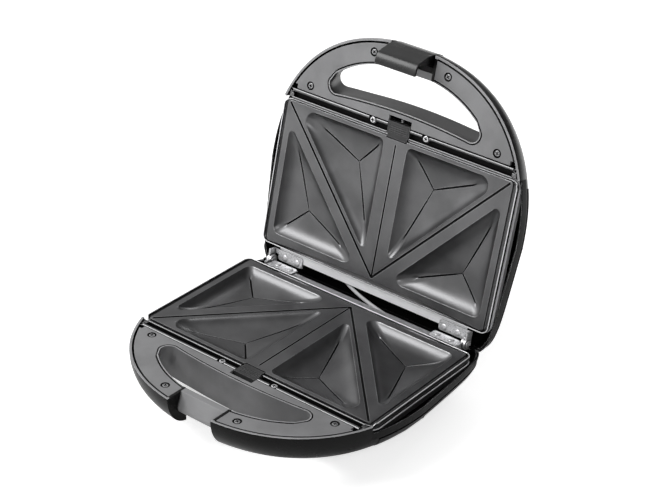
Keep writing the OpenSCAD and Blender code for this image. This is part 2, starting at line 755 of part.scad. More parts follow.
module base_handle_cover() { in_base() handle_cover(); }
module base_cover_screws() { in_base() cover_screws(); }
module base_front_rail() { in_base() front_rail(); }
module base_rail_screws() { in_base() rail_screws(); }
module base_plate_catch() { in_base() plate_catch(); }
module base_catch_spring() { in_base() catch_spring(); }
module base_cooking_plate() { in_base() cooking_plate(); }
module base_reflector_pan() { in_base() reflector_pan(); }
module base_heating_element() { in_base() heating_element(); }
module base_element_clips() { in_base() element_clips(); }
module base_pan_screws() { in_base() pan_screws(); }
module hinge_rivets_base() { in_base() hinge_rivets(); }

module lid_handle_cover() { in_lid() handle_cover(); }
module lid_cover_screws() { in_lid() cover_screws(); }
module lid_front_rail() { in_lid() front_rail(); }
module lid_rail_screws() { in_lid() rail_screws(); }
module lid_plate_catch() { in_lid() plate_catch(); }
module lid_catch_spring() { in_lid() catch_spring(); }
module lid_cooking_plate() { in_lid() cooking_plate(); }
module lid_reflector_pan() { in_lid() reflector_pan(); }
module lid_heating_element() { in_lid() heating_element(); }
module lid_element_clips() { in_lid() element_clips(); }
module lid_pan_screws() { in_lid() pan_screws(); }
module hinge_rivets_lid() { in_lid() hinge_rivets(); }

base_housing();
base_handle_cover();
base_cover_screws();
base_front_rail();
base_rail_screws();
base_plate_catch();
base_catch_spring();
base_cooking_plate();
base_reflector_pan();
base_heating_element();
base_element_clips();
base_pan_screws();
rubber_feet();
foot_screws();
cord_gland();
terminal_block();
thermostat();
thermal_fuse();
hinge_leaf_base_left();
hinge_leaf_base_right();
hinge_rivets_base();
hinge_pins();
lid_housing();
lid_handle_cover();
lid_cover_screws();
lid_front_rail();
lid_rail_screws();
lid_plate_catch();
lid_catch_spring();
lid_cooking_plate();
lid_reflector_pan();
lid_heating_element();
lid_element_clips();
lid_pan_screws();
hinge_leaf_lid_left();
hinge_leaf_lid_right();
hinge_rivets_lid();
indicator_lenses();
neon_lamps();
latch();
latch_pin();
wiring_sleeve();
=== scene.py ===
import math
import bpy
import bmesh
from mathutils import Matrix, Vector


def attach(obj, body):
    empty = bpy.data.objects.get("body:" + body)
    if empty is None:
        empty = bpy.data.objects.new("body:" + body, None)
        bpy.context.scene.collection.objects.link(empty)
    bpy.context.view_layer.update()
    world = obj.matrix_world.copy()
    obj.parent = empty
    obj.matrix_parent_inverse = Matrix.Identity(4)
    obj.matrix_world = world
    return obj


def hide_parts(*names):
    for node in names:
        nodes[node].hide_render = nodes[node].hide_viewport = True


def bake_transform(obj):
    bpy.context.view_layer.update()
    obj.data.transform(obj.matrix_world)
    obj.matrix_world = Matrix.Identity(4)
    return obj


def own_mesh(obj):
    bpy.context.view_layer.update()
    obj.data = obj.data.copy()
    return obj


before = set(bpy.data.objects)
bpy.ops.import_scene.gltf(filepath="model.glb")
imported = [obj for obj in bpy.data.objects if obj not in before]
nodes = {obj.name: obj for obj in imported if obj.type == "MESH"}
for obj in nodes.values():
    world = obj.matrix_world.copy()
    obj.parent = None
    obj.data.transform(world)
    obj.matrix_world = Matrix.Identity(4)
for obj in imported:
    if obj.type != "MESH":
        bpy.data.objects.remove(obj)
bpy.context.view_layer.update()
scene = bpy.context.scene

# Every piece is shaped in millimetres in its own half: x to the right, v forward
# from the hinge, w up from the plane where the halves meet.  y is -v.
HINGE_Y = 67.8436
HINGE_Z = 43.8
PARTING_Z = 46.0
OPEN = math.radians(102.2)
METRES = Matrix.Scale(0.001, 4)
BASE = METRES @ Matrix.Translation((0, HINGE_Y, PARTING_Z))
LID = (METRES @ Matrix.Translation((0, HINGE_Y, HINGE_Z)) @ Matrix.Rotation(-OPEN, 4, "X")
       @ Matrix.Translation((0, 0, PARTING_Z - HINGE_Z)) @ Matrix.Diagonal((1, 1, -1, 1)))
PLACES = {"base": BASE, "lid": LID}


# ------------------------------------------------------------------ mesh tools

def ring_of(bm, points):
    """Closed ring of vertices through points given as (x, y, w)."""
    ring = [bm.verts.new(p) for p in points]
    for a, b in zip(ring, ring[1:] + ring[:1]):
        bm.edges.new((a, b))
    return ring


def edges_of(bm, ring):
    return [bm.edges.get((a, b)) for a, b in zip(ring, ring[1:] + ring[:1])]


def next_ring(bm, ring, points):
    """Extrudes a ring and sets the new one on the given points."""
    made = bmesh.ops.extrude_edge_only(bm, edges=edges_of(bm, ring))["geom"]
    fresh = {g for g in made if isinstance(g, bmesh.types.BMVert)}
    after = []
    for vert, point in zip(ring, points):
        new = next(e.other_vert(vert) for e in vert.link_edges if e.other_vert(vert) in fresh)
        new.co = point
        after.append(new)
    return after


def cap(bm, ring):
    return bmesh.ops.contextual_create(bm, geom=edges_of(bm, ring))["faces"]


def stack(bm, rings):
    """Closed solid through rings of equal length."""
    first = ring_of(bm, rings[0])
    last = first
    for points in rings[1:]:
        last = next_ring(bm, last, points)
    cap(bm, first)
    cap(bm, last)


def level(points, w):
    """Plan points (x, v) set at the height w."""
    return [(x, -v, w) for x, v in points]


def box(bm, low, high, soften=0.0):
    """Block between two corners given as (x, v, w), with softened edges."""
    size = [b - a for a, b in zip(low, high)]
    middle = [(a + b) / 2 for a, b in zip(low, high)]
    place = Matrix.Translation((middle[0], -middle[1], middle[2])) @ Matrix.Diagonal((*size, 1))
    made = bmesh.ops.create_cube(bm, size=1, matrix=place)["verts"]
    if soften:
        edges = list(dict.fromkeys(e for vert in made for e in vert.link_edges))
        bmesh.ops.bevel(bm, geom=edges, offset=soften, offset_type="OFFSET", segments=2, profile=0.5,
                        affect="EDGES", clamp_overlap=True, material=-1)


def turned_part(profile, place, steps=32):
    """Body turned from a profile of (radius, height), closed on its axis."""
    part = bmesh.new()
    verts = [part.verts.new((r, 0, z)) for r, z in profile]
    edges = [part.edges.new((a, b)) for a, b in zip(verts, verts[1:])]
    bmesh.ops.spin(part, geom=verts + edges, cent=(0, 0, 0), axis=(0, 0, 1), angle=2 * math.pi,
                   steps=steps, use_merge=True)
    bmesh.ops.remove_doubles(part, verts=part.verts, dist=1e-4)
    bmesh.ops.transform(part, matrix=place, verts=part.verts)
    bmesh.ops.recalc_face_normals(part, faces=part.faces)
    return part


def upright(x, v, w=0.0):
    return Matrix.Translation((x, -v, w))


def sideways(x, v, w):
    """Places a turned part with its axis along +X."""
    return Matrix.Translation((x, -v, w)) @ Matrix.Rotation(math.pi / 2, 4, "Y")


def merge(bm, *parts):
    """Adds other meshes to bm."""
    for part in parts:
        held = bpy.data.meshes.new("held")
        part.to_mesh(held)
        part.free()
        bm.from_mesh(held)
        bpy.data.meshes.remove(held)
    return bm


def mirrored(part):
    twin = part.copy()
    bmesh.ops.scale(twin, vec=(-1, 1, 1), verts=twin.verts)
    bmesh.ops.reverse_faces(twin, faces=twin.faces)
    return twin


def prism(points, x0, x1):
    """Profile of (v, w) points drawn out along X."""
    part = bmesh.new()
    first = ring_of(part, [(x0, -v, w) for v, w in points])
    last = next_ring(part, first, [(x1, -v, w) for v, w in points])
    cap(part, first)
    cap(part, last)
    return part


def slab(points, low, high):
    """Plan outline of (x, v) points drawn up from low to high."""
    part = bmesh.new()
    stack(part, [level(points, low), level(points, high)])
    return part


def temporary(bm):
    """Working object that holds bm while a modifier shapes it."""
    bmesh.ops.recalc_face_normals(bm, faces=bm.faces)
    mesh = bpy.data.meshes.new("working")
    bm.to_mesh(mesh)
    bm.free()
    obj = bpy.data.objects.new("working", mesh)
    scene.collection.objects.link(obj)
    return obj


def shaped(body, *others):
    """The body's mesh with its modifiers applied. The working objects are dropped."""
    done = body.evaluated_get(bpy.context.evaluated_depsgraph_get())
    result = bmesh.new()
    result.from_mesh(done.to_mesh())
    done.to_mesh_clear()
    for obj in (body, *others):
        mesh = obj.data
        bpy.data.objects.remove(obj)
        bpy.data.meshes.remove(mesh)
    return result


def carved(bm, tools, operation="DIFFERENCE"):
    """The solid bm with the tools' solids taken away or added."""
    body = temporary(bm)
    held = bpy.data.collections.new("tools")
    cutters = [temporary(tool) for tool in tools]
    for cutter in cutters:
        held.objects.link(cutter)
    step = body.modifiers.new("carve", "BOOLEAN")
    step.operation = operation
    step.solver = "EXACT"
    step.operand_type = "COLLECTION"
    step.collection = held
    result = shaped(body, *cutters)
    bpy.data.collections.remove(held)
    return result


def softened(bm, width, segments=2, angle=35):
    """Rounds the sharp edges of a solid."""
    body = temporary(bm)
    step = body.modifiers.new("edges", "BEVEL")
    step.width = width
    step.segments = segments
    step.limit_method = "ANGLE"
    step.angle_limit = math.radians(angle)
    step.use_clamp_overlap = True
    return shaped(body)


def spline_point(a, b, c, d, t):
    """Point between b and c on the smooth curve through four points (Catmull and Rom)."""
    bend = 2 * a - 5 * b + 4 * c - d
    twist = 3 * b - a - 3 * c + d
    return 0.5 * (2 * b + (c - a) * t + bend * t * t + twist * t * t * t)


def smooth_loop(points, steps=5):
    """Smooth closed curve through flat points."""
    n = len(points)
    out = []
    for i in range(n):
        a, b, c, d = [Vector(points[(i + j) % n]) for j in (-1, 0, 1, 2)]
        out += [tuple(spline_point(a, b, c, d, s / steps)) for s in range(steps)]
    return out


def smooth_way(points, step):
    """Even points on the smooth curve through the given ones."""
    ends = [Vector(p) for p in points]
    ends = [ends[0] * 2 - ends[1]] + ends + [ends[-1] * 2 - ends[-2]]
    fine = []
    for a, b, c, d in zip(ends, ends[1:], ends[2:], ends[3:]):
        fine += [spline_point(a, b, c, d, i / 60) for i in range(60)]
    fine.append(ends[-2])
    even = [fine[0]]
    for p in fine:
        if (p - even[-1]).length >= step:
            even.append(p)
    return even


def tube(rings):
    """Solid tube through rings of equal length, capped at both ends."""
    bm = bmesh.new()
    first = ring_of(bm, rings[0])
    cap(bm, first)
    ring = first
    for points in rings[1:]:
        ring = next_ring(bm, ring, points)
    cap(bm, ring)
    return bm


def block(low, high, soften=0.0):
    bm = bmesh.new()
    box(bm, low, high, soften)
    return bm


def rod(x, v, radius, low, high):
    """Upright cylinder from low to high."""
    return turned_part([(0, low), (radius, low), (radius, high), (0, high)], upright(x, v))


def lying(x0, x1, v, w, radius):
    """Cylinder along X from x0 to x1."""
    return turned_part([(0, 0), (radius, 0), (radius, x1 - x0), (0, x1 - x0)], sideways(x0, v, w))


def pair(part):
    """A part and its twin on the other side."""
    return [mirrored(part), part]


def piece(bm, name, half, body, materials, replaced, sharp=32, recalc=True):
    """Finishes a piece: places it in its half, smooths it and ties it to its body."""
    bmesh.ops.remove_doubles(bm, verts=bm.verts, dist=2e-4)
    if recalc:
        bmesh.ops.recalc_face_normals(bm, faces=bm.faces)
    place = PLACES[half]
    bmesh.ops.transform(bm, matrix=place, verts=bm.verts)
    if place.determinant() < 0:
        bmesh.ops.reverse_faces(bm, faces=bm.faces)
    mesh = bpy.data.meshes.new(name)
    bm.to_mesh(mesh)
    bm.free()
    for face in mesh.polygons:
        face.use_smooth = True
    mesh.set_sharp_from_angle(angle=math.radians(sharp))
    obj = bpy.data.objects.new(name, mesh)
    scene.collection.objects.link(obj)
    for material in materials:
        mesh.materials.append(material)
    even = obj.modifiers.new("even shading", "WEIGHTED_NORMAL")
    even.keep_sharp = True
    even.weight = 80
    if body:
        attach(obj, body)
    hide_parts(*replaced)
    return obj


# ------------------------------------------------------------------ materials

def node_in(tree, kind, **settings):
    made = tree.nodes.new(kind)
    for name, value in settings.items():
        setattr(made, name, value)
    return made


def group(name, inputs, outputs):
    """Empty shader node group with its input and output nodes."""
    tree = bpy.data.node_groups.new(name, "ShaderNodeTree")
    for label, kind, value in inputs:
        socket = tree.interface.new_socket(label, in_out="INPUT", socket_type=kind)
        if value is not None:
            socket.default_value = value
    for label, kind in outputs:
        tree.interface.new_socket(label, in_out="OUTPUT", socket_type=kind)
    return tree, tree.nodes.new("NodeGroupInput"), tree.nodes.new("NodeGroupOutput")


def ramp(tree, low, high, to_low=0.0, to_high=1.0):
    """Smooth step of a value between two ends. Its Value is linked by the caller."""
    made = node_in(tree, "ShaderNodeMapRange", interpolation_type="SMOOTHSTEP")
    made.inputs["From Min"].default_value = low
    made.inputs["From Max"].default_value = high
    made.inputs["To Min"].default_value = to_low
    made.inputs["To Max"].default_value = to_high
    return made


def maths(tree, operation, a, b=None):
    made = node_in(tree, "ShaderNodeMath", operation=operation)
    for socket, value in zip(made.inputs, (a, b)):
        if value is None:
            continue
        if isinstance(value, (int, float)):
            socket.default_value = value
        else:
            tree.links.new(value, socket)
    return made.outputs[0]


def grain_group():
    """Fine surface grain of a mould or a sprayed coat, with a slow change of tone."""
    tree, given, out = group("surface_grain", [("Vector", "NodeSocketVector", None),
                                               ("Size", "NodeSocketFloat", 2600.0)],
                             [("Height", "NodeSocketFloat"), ("Tone", "NodeSocketFloat"),
                              ("Fleck", "NodeSocketFloat")])
    fine = node_in(tree, "ShaderNodeTexNoise")
    fine.inputs["Detail"].default_value = 3
    fine.inputs["Roughness"].default_value = 0.55
    cells = node_in(tree, "ShaderNodeTexVoronoi", feature="SMOOTH_F1")
    slow = node_in(tree, "ShaderNodeTexNoise")
    slow.inputs["Scale"].default_value = 38
    slow.inputs["Detail"].default_value = 4
    for tex in (fine, cells, slow):
        tree.links.new(given.outputs["Vector"], tex.inputs["Vector"])
    tree.links.new(given.outputs["Size"], fine.inputs["Scale"])
    tree.links.new(maths(tree, "MULTIPLY", given.outputs["Size"], 0.45), cells.inputs["Scale"])
    height = maths(tree, "ADD", maths(tree, "MULTIPLY", fine.outputs[0], 0.7),
                   maths(tree, "MULTIPLY", cells.outputs[0], 0.5))
    tree.links.new(height, out.inputs["Height"])
    tone = ramp(tree, 0.3, 0.7)
    tree.links.new(slow.outputs[0], tone.inputs["Value"])
    tree.links.new(tone.outputs[0], out.inputs["Tone"])
    fleck = ramp(tree, 0.62, 0.74)
    tree.links.new(fine.outputs[0], fleck.inputs["Value"])
    tree.links.new(fleck.outputs[0], out.inputs["Fleck"])
    return tree


def painted_highlight_group():
    """Mask of the edges and corners, for a painted highlight that lightens the colour there."""
    tree, given, out = group("painted_edge_highlight", [("Vector", "NodeSocketVector", None),
                                             ("Reach", "NodeSocketFloat", 0.0006),
                                             ("Amount", "NodeSocketFloat", 0.5)],
                             [("Mask", "NodeSocketFloat")])
    rounded = node_in(tree, "ShaderNodeBevel", samples=4)
    tree.links.new(given.outputs["Reach"], rounded.inputs["Radius"])
    shape = node_in(tree, "ShaderNodeNewGeometry")
    along = node_in(tree, "ShaderNodeVectorMath", operation="DOT_PRODUCT")
    tree.links.new(rounded.outputs[0], along.inputs[0])
    tree.links.new(shape.outputs["Normal"], along.inputs[1])
    edge = ramp(tree, 0.995, 0.86)
    tree.links.new(along.outputs["Value"], edge.inputs["Value"])
    patchy = node_in(tree, "ShaderNodeTexNoise")
    patchy.inputs["Scale"].default_value = 420
    tree.links.new(given.outputs["Vector"], patchy.inputs["Vector"])
    spread = ramp(tree, 0.3, 0.6, 0.45, 1.0)
    tree.links.new(patchy.outputs[0], spread.inputs["Value"])
    mask = maths(tree, "MULTIPLY", maths(tree, "MULTIPLY", edge.outputs[0], spread.outputs[0]),
                 given.outputs["Amount"])
    tree.links.new(mask, out.inputs["Mask"])
    return tree


def brushed_group():
    """Fine lines left by rolling and brushing a metal sheet."""
    tree, given, out = group("brushed_lines", [("Vector", "NodeSocketVector", None),
                                               ("Stretch", "NodeSocketVector", (60.0, 2500.0, 2500.0))],
                             [("Height", "NodeSocketFloat"), ("Tone", "NodeSocketFloat")])
    pulled = node_in(tree, "ShaderNodeVectorMath", operation="MULTIPLY")
    tree.links.new(given.outputs["Vector"], pulled.inputs[0])
    tree.links.new(given.outputs["Stretch"], pulled.inputs[1])
    lines = node_in(tree, "ShaderNodeTexNoise")
    lines.inputs["Scale"].default_value = 1
    lines.inputs["Detail"].default_value = 3
    tree.links.new(pulled.outputs[0], lines.inputs["Vector"])
    tree.links.new(lines.outputs[0], out.inputs["Height"])
    tone = ramp(tree, 0.3, 0.7)
    tree.links.new(lines.outputs[0], tone.inputs["Value"])
    tree.links.new(tone.outputs[0], out.inputs["Tone"])
    return tree


def painted_shade_group():
    """Mask of narrow gaps and grooves, for painted shade that darkens the colour there."""
    tree, given, out = group("crevice_shade", [("Reach", "NodeSocketFloat", 0.0025),
                                               ("Amount", "NodeSocketFloat", 0.9)],
                             [("Mask", "NodeSocketFloat")])
    hidden = node_in(tree, "ShaderNodeAmbientOcclusion", samples=6)
    tree.links.new(given.outputs["Reach"], hidden.inputs["Distance"])
    closed = ramp(tree, 0.82, 0.5)
    tree.links.new(hidden.outputs["AO"], closed.inputs["Value"])
    tree.links.new(maths(tree, "MULTIPLY", closed.outputs[0], given.outputs["Amount"]), out.inputs["Mask"])
    return tree


GRAIN = grain_group()
PAINTED_SHADE = painted_shade_group()
PAINTED_HIGHLIGHT = painted_highlight_group()
BRUSHED = brushed_group()


def grey(value):
    """Linear colour of a neutral tone written as 0 to 255."""
    c = value / 255
    linear = c / 12.92 if c <= 0.04045 else ((c + 0.055) / 1.055) ** 2.4
    return (linear, linear, linear * 1.02, 1)


def blend(tree, factor, a, b):
    """Mix of two colours."""
    made = node_in(tree, "ShaderNodeMix", data_type="RGBA")
    for socket, value in ((made.inputs[0], factor), (made.inputs[6], a), (made.inputs[7], b)):
        if isinstance(value, (tuple, float, int)):
            socket.default_value = value
        else:
            tree.links.new(value, socket)
    return made.outputs[2]


def start_material(name):
    material = bpy.data.materials.new(name)
    material.use_nodes = True
    tree = material.node_tree
    shader = tree.nodes["Principled BSDF"]
    place = node_in(tree, "ShaderNodeTexCoord")
    return material, tree, shader, place.outputs["Object"]


def moulded(name, dark, light, rough, size, depth, edge, edge_amount, fleck=0.0, specular=0.5, crevice=0.9,
            metallic=0.0):
    """Moulded plastic or a sprayed coat: two tones, grain of some depth in mm, smoother edges with a painted
    highlight, painted shade in crevices.
    """
    material, tree, shader, vector = start_material(name)
    grain = node_in(tree, "ShaderNodeGroup", node_tree=GRAIN)
    grain.inputs["Size"].default_value = size
    edge_highlight = node_in(tree, "ShaderNodeGroup", node_tree=PAINTED_HIGHLIGHT)
    edge_highlight.inputs["Reach"].default_value = 0.0007
    edge_highlight.inputs["Amount"].default_value = edge_amount
    tree.links.new(vector, grain.inputs["Vector"])
    tree.links.new(vector, edge_highlight.inputs["Vector"])
    colour = blend(tree, grain.outputs["Tone"], grey(dark), grey(light))
    if fleck:
        colour = blend(tree, maths(tree, "MULTIPLY", grain.outputs["Fleck"], fleck), colour, grey(190))
    # Edges lighten towards the tone edge: a painted highlight.
    colour = blend(tree, edge_highlight.outputs["Mask"], colour, grey(edge))
    # Gaps and grooves darken towards near black: painted shade.
    gap_shade = node_in(tree, "ShaderNodeGroup", node_tree=PAINTED_SHADE)
    gap_shade.inputs["Amount"].default_value = crevice
    colour = blend(tree, gap_shade.outputs["Mask"], colour, grey(4))
    tree.links.new(colour, shader.inputs["Base Color"])
    spread = ramp(tree, 0.0, 1.0, rough - 0.04, rough + 0.04)
    tree.links.new(grain.outputs["Tone"], spread.inputs["Value"])
    smoother = maths(tree, "MULTIPLY", edge_highlight.outputs["Mask"], 0.1)
    tree.links.new(maths(tree, "SUBTRACT", spread.outputs[0], smoother), shader.inputs["Roughness"])
    bump = node_in(tree, "ShaderNodeBump")
    bump.inputs["Strength"].default_value = 0.5
    bump.inputs["Distance"].default_value = depth / 1000
    tree.links.new(grain.outputs["Height"], bump.inputs["Height"])
    tree.links.new(bump.outputs[0], shader.inputs["Normal"])
    shader.inputs["Specular IOR Level"].default_value = specular
    shader.inputs["Metallic"].default_value = metallic
    return material


def sheet_metal(name, dark, light, rough, stretch=(60, 2500, 2500), depth=0.02, metallic=1.0, edge_amount=0.5,
                crevice=0.9):
    """Rolled or brushed metal: lines drawn out along X, a painted highlight on the edges, painted shade in
    crevices.
    """
    material, tree, shader, vector = start_material(name)
    lines = node_in(tree, "ShaderNodeGroup", node_tree=BRUSHED)
    lines.inputs["Stretch"].default_value = stretch
    edge_highlight = node_in(tree, "ShaderNodeGroup", node_tree=PAINTED_HIGHLIGHT)
    edge_highlight.inputs["Amount"].default_value = edge_amount
    tree.links.new(vector, lines.inputs["Vector"])
    tree.links.new(vector, edge_highlight.inputs["Vector"])
    colour = blend(tree, lines.outputs["Tone"], grey(dark), grey(light))
    # Edges lighten towards a pale grey: a painted highlight.
    colour = blend(tree, edge_highlight.outputs["Mask"], colour, grey(245))
    # Gaps and grooves darken towards near black: painted shade.
    gap_shade = node_in(tree, "ShaderNodeGroup", node_tree=PAINTED_SHADE)
    gap_shade.inputs["Amount"].default_value = crevice
    colour = blend(tree, gap_shade.outputs["Mask"], colour, grey(6))
    tree.links.new(colour, shader.inputs["Base Color"])
    spread = ramp(tree, 0.0, 1.0, rough - 0.06, rough + 0.08)
    tree.links.new(lines.outputs["Tone"], spread.inputs["Value"])
    tree.links.new(spread.outputs[0], shader.inputs["Roughness"])
    shader.inputs["Metallic"].default_value = metallic
    bump = node_in(tree, "ShaderNodeBump")
    bump.inputs["Strength"].default_value = 0.4
    bump.inputs["Distance"].default_value = depth / 1000
    tree.links.new(lines.outputs["Height"], bump.inputs["Height"])
    tree.links.new(bump.outputs[0], shader.inputs["Normal"])
    return material


SHELL = moulded("shell_black", 8, 12, 0.26, size=3400, depth=0.03, edge=70, edge_amount=0.25,
                specular=0.16)
# The rim beside the plate is the same black plastic, painted a little lighter, with a strong painted highlight on
# its edges.
SIDE_RIM = moulded("shell_side_rim", 16, 22, 0.36, size=3400, depth=0.03, edge=200, edge_amount=0.8,
                   specular=0.2)
# The rim's upper faces are the shell's black plastic, painted pale grey: a painted reflection.
RIM_PAINTED_REFLECTION = moulded("shell_rim", 140, 158, 0.38, size=3400, depth=0.03, edge=225, edge_amount=0.8, specular=0.4)
# The finger hole's wall is the shell's black plastic painted lighter where light falls in it, much lighter in the
# base than in the lid.
LID_HOLE_WALL_PAINTED_LIGHT = moulded("lid_hole_wall_painted_light", 40, 52, 0.36, size=3400, depth=0.03, edge=150, edge_amount=0.6,
                   specular=0.3)
HOLE_WALL_PAINTED_LIGHT = moulded("finger_hole_wall_painted_light", 100, 118, 0.36, size=3400, depth=0.03, edge=150, edge_amount=0.6,
               specular=0.4)
PANEL = moulded("notch_panel", 136, 146, 0.42, size=3000, depth=0.04, edge=175, edge_amount=0.6,
                specular=0.4)
COVER = moulded("cover_grey", 124, 140, 0.42, size=2200, depth=0.09, edge=180, edge_amount=0.75, fleck=0.2,
                specular=0.4)
LATCH = moulded("latch_black", 15, 21, 0.27, size=3400, depth=0.015, edge=110, edge_amount=0.4,
                specular=0.42)
DARK_SCREW = moulded("dark_screw", 120, 146, 0.35, size=4200, depth=0.02, edge=205, edge_amount=0.9,
                     specular=0.5, metallic=0.5)
CATCH = moulded("catch_grey", 44, 58, 0.4, size=3200, depth=0.05, edge=140, edge_amount=0.7, specular=0.3)
NONSTICK = moulded("nonstick_coat", 92, 106, 0.36, size=2400, depth=0.06, edge=200, edge_amount=0.6,
                   fleck=0.1, specular=0.4, metallic=0.92)
# Pale grey for the plate's lip, a painted highlight on the cast coat, and for the pan's own bright bead.
LIP_HIGHLIGHT_AND_PAN_BEAD = moulded("plate_bright_edge", 215, 240, 0.36, size=2400, depth=0.04, edge=250, edge_amount=0.6,
                     metallic=0.3, crevice=0.2)
RUBBER = moulded("foot_rubber", 22, 30, 0.75, size=2000, depth=0.12, edge=60, edge_amount=0.5, specular=0.2)
GLAND = moulded("gland_black", 16, 22, 0.55, size=2400, depth=0.06, edge=70, edge_amount=0.4, specular=0.3)
TERMINAL = moulded("terminal_white", 205, 222, 0.45, size=2400, depth=0.05, edge=235, edge_amount=0.4)
CERAMIC = moulded("ceramic_white", 214, 228, 0.5, size=1500, depth=0.08, edge=240, edge_amount=0.3)
# Groove floors and walls are the coat painted near black: painted shade.
GROOVE_PAINTED_SHADE = moulded("plate_groove", 7, 11, 0.5, size=2400, depth=0.05, edge=30, edge_amount=0.2, specular=0.15)
# The groove's edge ring is the same coat painted lighter: a painted highlight.
GROOVE_LIP_PAINTED_HIGHLIGHT = moulded("plate_groove_lip", 128, 146, 0.34, size=2400, depth=0.05, edge=170, edge_amount=0.3,
                     specular=0.4, metallic=0.85, crevice=0.3)
# Near black for screw wells, cross recesses and the rail's channel: painted shade.
WELL_PAINTED_SHADE = moulded("screw_well_painted_shade", 6, 9, 0.6, size=3000, depth=0.03, edge=20, edge_amount=0.1, specular=0.1)
SLEEVE = moulded("sleeve_grey", 150, 200, 0.6, size=1400, depth=0.25, edge=225, edge_amount=0.3)
STEEL = sheet_metal("bright_steel", 200, 218, 0.32, stretch=(700, 2200, 2200), depth=0.008, metallic=0.6)
# The rails are bright steel painted dark, a painted reflection of dark surroundings.
RAIL_STEEL_PAINTED_DARK = sheet_metal("rail_steel", 84, 112, 0.26, edge_amount=0.3)
SPRING = sheet_metal("spring_steel", 150, 190, 0.3, stretch=(900, 900, 900))
PAN = sheet_metal("pan_aluminium", 236, 246, 0.36, stretch=(120, 2400, 2400), depth=0.008, crevice=0.2,
                  metallic=0.35)
PAN_DARKER = sheet_metal("pan_aluminium_darker", 110, 160, 0.36, stretch=(200, 1800, 1800), crevice=0.7,
                       metallic=0.9)
SHEATH = sheet_metal("element_sheath", 92, 118, 0.45, stretch=(60, 900, 900), metallic=0.9)


def lens_material():
    """Clear red plastic with a faint ripple."""
    material, tree, shader, vector = start_material("lens_red")
    ripple = node_in(tree, "ShaderNodeTexNoise")
    ripple.inputs["Scale"].default_value = 900
    tree.links.new(vector, ripple.inputs["Vector"])
    tree.links.new(blend(tree, ripple.outputs[0], (0.42, 0.006, 0.004, 1), (0.62, 0.02, 0.012, 1)),
                   shader.inputs["Base Color"])
    shader.inputs["Roughness"].default_value = 0.16
    shader.inputs["Transmission Weight"].default_value = 0.35
    bump = node_in(tree, "ShaderNodeBump")
    bump.inputs["Distance"].default_value = 0.00004
    tree.links.new(ripple.outputs[0], bump.inputs["Height"])
    tree.links.new(bump.outputs[0], shader.inputs["Normal"])
    return material


def glass_material():
    """Warm glass of a small lamp."""
    material, tree, shader, vector = start_material("lamp_glass")
    haze = node_in(tree, "ShaderNodeTexNoise")
    haze.inputs["Scale"].default_value = 500
    tree.links.new(vector, haze.inputs["Vector"])
    tree.links.new(blend(tree, haze.outputs[0], (0.75, 0.4, 0.2, 1), (0.9, 0.62, 0.4, 1)),
                   shader.inputs["Base Color"])
    shader.inputs["Roughness"].default_value = 0.08
    shader.inputs["Transmission Weight"].default_value = 0.8
    return material


LENS = lens_material()
LAMP = glass_material()

FINISHES = {"shell_black": SHELL, "cover_grey": COVER, "latch_black": LATCH, "dark_screw": DARK_SCREW,
            "bright_steel": STEEL, "spring_steel": SPRING, "catch_grey": CATCH, "nonstick_plate": NONSTICK,
            "pan_aluminium": PAN, "element_sheath": SHEATH, "foot_rubber": RUBBER, "gland_black": GLAND,
            "terminal_white": TERMINAL, "ceramic_white": CERAMIC, "lens_red": LENS, "lamp_glass": LAMP,
            "sleeve_grey": SLEEVE}

# CAD pieces that stay take a detailed finish in the place of their plain one
for cad in nodes.values():
    for held in cad.material_slots:
        plain = held.material.name.split(".")[0] if held.material else ""
        if plain in FINISHES:
            held.material = FINISHES[plain]

# The lower pan is darker and duller than the upper one
for held in nodes["base_reflector_pan"].material_slots:
    held.material = PAN_DARKER


# ------------------------------------------------------------------ outlines

# The shell's outline: half width, and its reach ahead of and behind the widest place
HALF_W = 118.3
WIDEST = 80.0
FRONT = 123.7
REAR = 95.0
BRIM_DEPTH = 28.0
BRIM = (18.0, 22.0, 10.0)
RIM_TOP = -0.3
AXIS_W = {"base": -2.2, "lid": 2.2}

# Beside the plate the rim lies lower and further in, above a ledge
SIDE_RIM_END = 134.05
LEDGE_END = 127.0
LEDGE_DEPTH = 14.2
SIDE_DROP = {"base": 6.8, "lid": 4.7}
SIDE_INSET = 1.8

# The finger hole: bowed rear edge, rounded corners, and the grip's width ahead of it
HOLE_REAR = 152.5
HOLE_BOW = 3.8
HOLE_END = (62.7, 155.7)
HOLE_END_R = 7.0
HOLE_HALF = 65.4
GRIP = 19.5
HOLE_FRONT = 183.0
HOLE_GAP = 2.0
HOLE_LIP = 0.85

COVER_IN = 3.4
COVER_SCREWS = ((87, 147.7), (34, 190))
RAIL_SCREW = (24.8, 139.1)
NOTCH_HALF = 20.3
PANEL_FACE = [(192.1, -12.6), (191.95, -13.6), (191.2, -16.2)]
LATCH_AXIS = (196, -8)
LATCH_HALF = 18.5


def lobe(c, power):
    return math.copysign(abs(c) ** (2 / power), c)


def turns_at(v, spread=0.08):
    """Two close turns either side of the place where the front outline is v from the hinge."""
    t = math.degrees(math.asin(((v - WIDEST) / FRONT) ** 1.15))
    return [t - spread, t + spread, 180 - t - spread, 180 - t + spread]


TURNS = sorted([360 * i / 192 for i in range(192)] + turns_at(SIDE_RIM_END) + turns_at(LEDGE_END))
TURNS = [math.radians(t) for t in TURNS]


def outline_point(t, inset):
    """Point of the shell's outline at the turn t, drawn in by (sides, front, rear)."""
    ahead = math.sin(t) > 0
    power = 2.3 if ahead else 8
    reach = FRONT - inset[1] if ahead else REAR - inset[2]
    along = reach * lobe(math.sin(t), power)
    narrow = 1 if ahead else 1 + 0.06 * along / REAR
    return (HALF_W - inset[0]) * narrow * lobe(math.cos(t), power), WIDEST + along


def front_v(x, inset):
    """Distance of the front outline from the hinge at x."""
    return WIDEST + (FRONT - inset) * (1 - (abs(x) / (HALF_W - inset)) ** 2.3) ** (1 / 2.3)


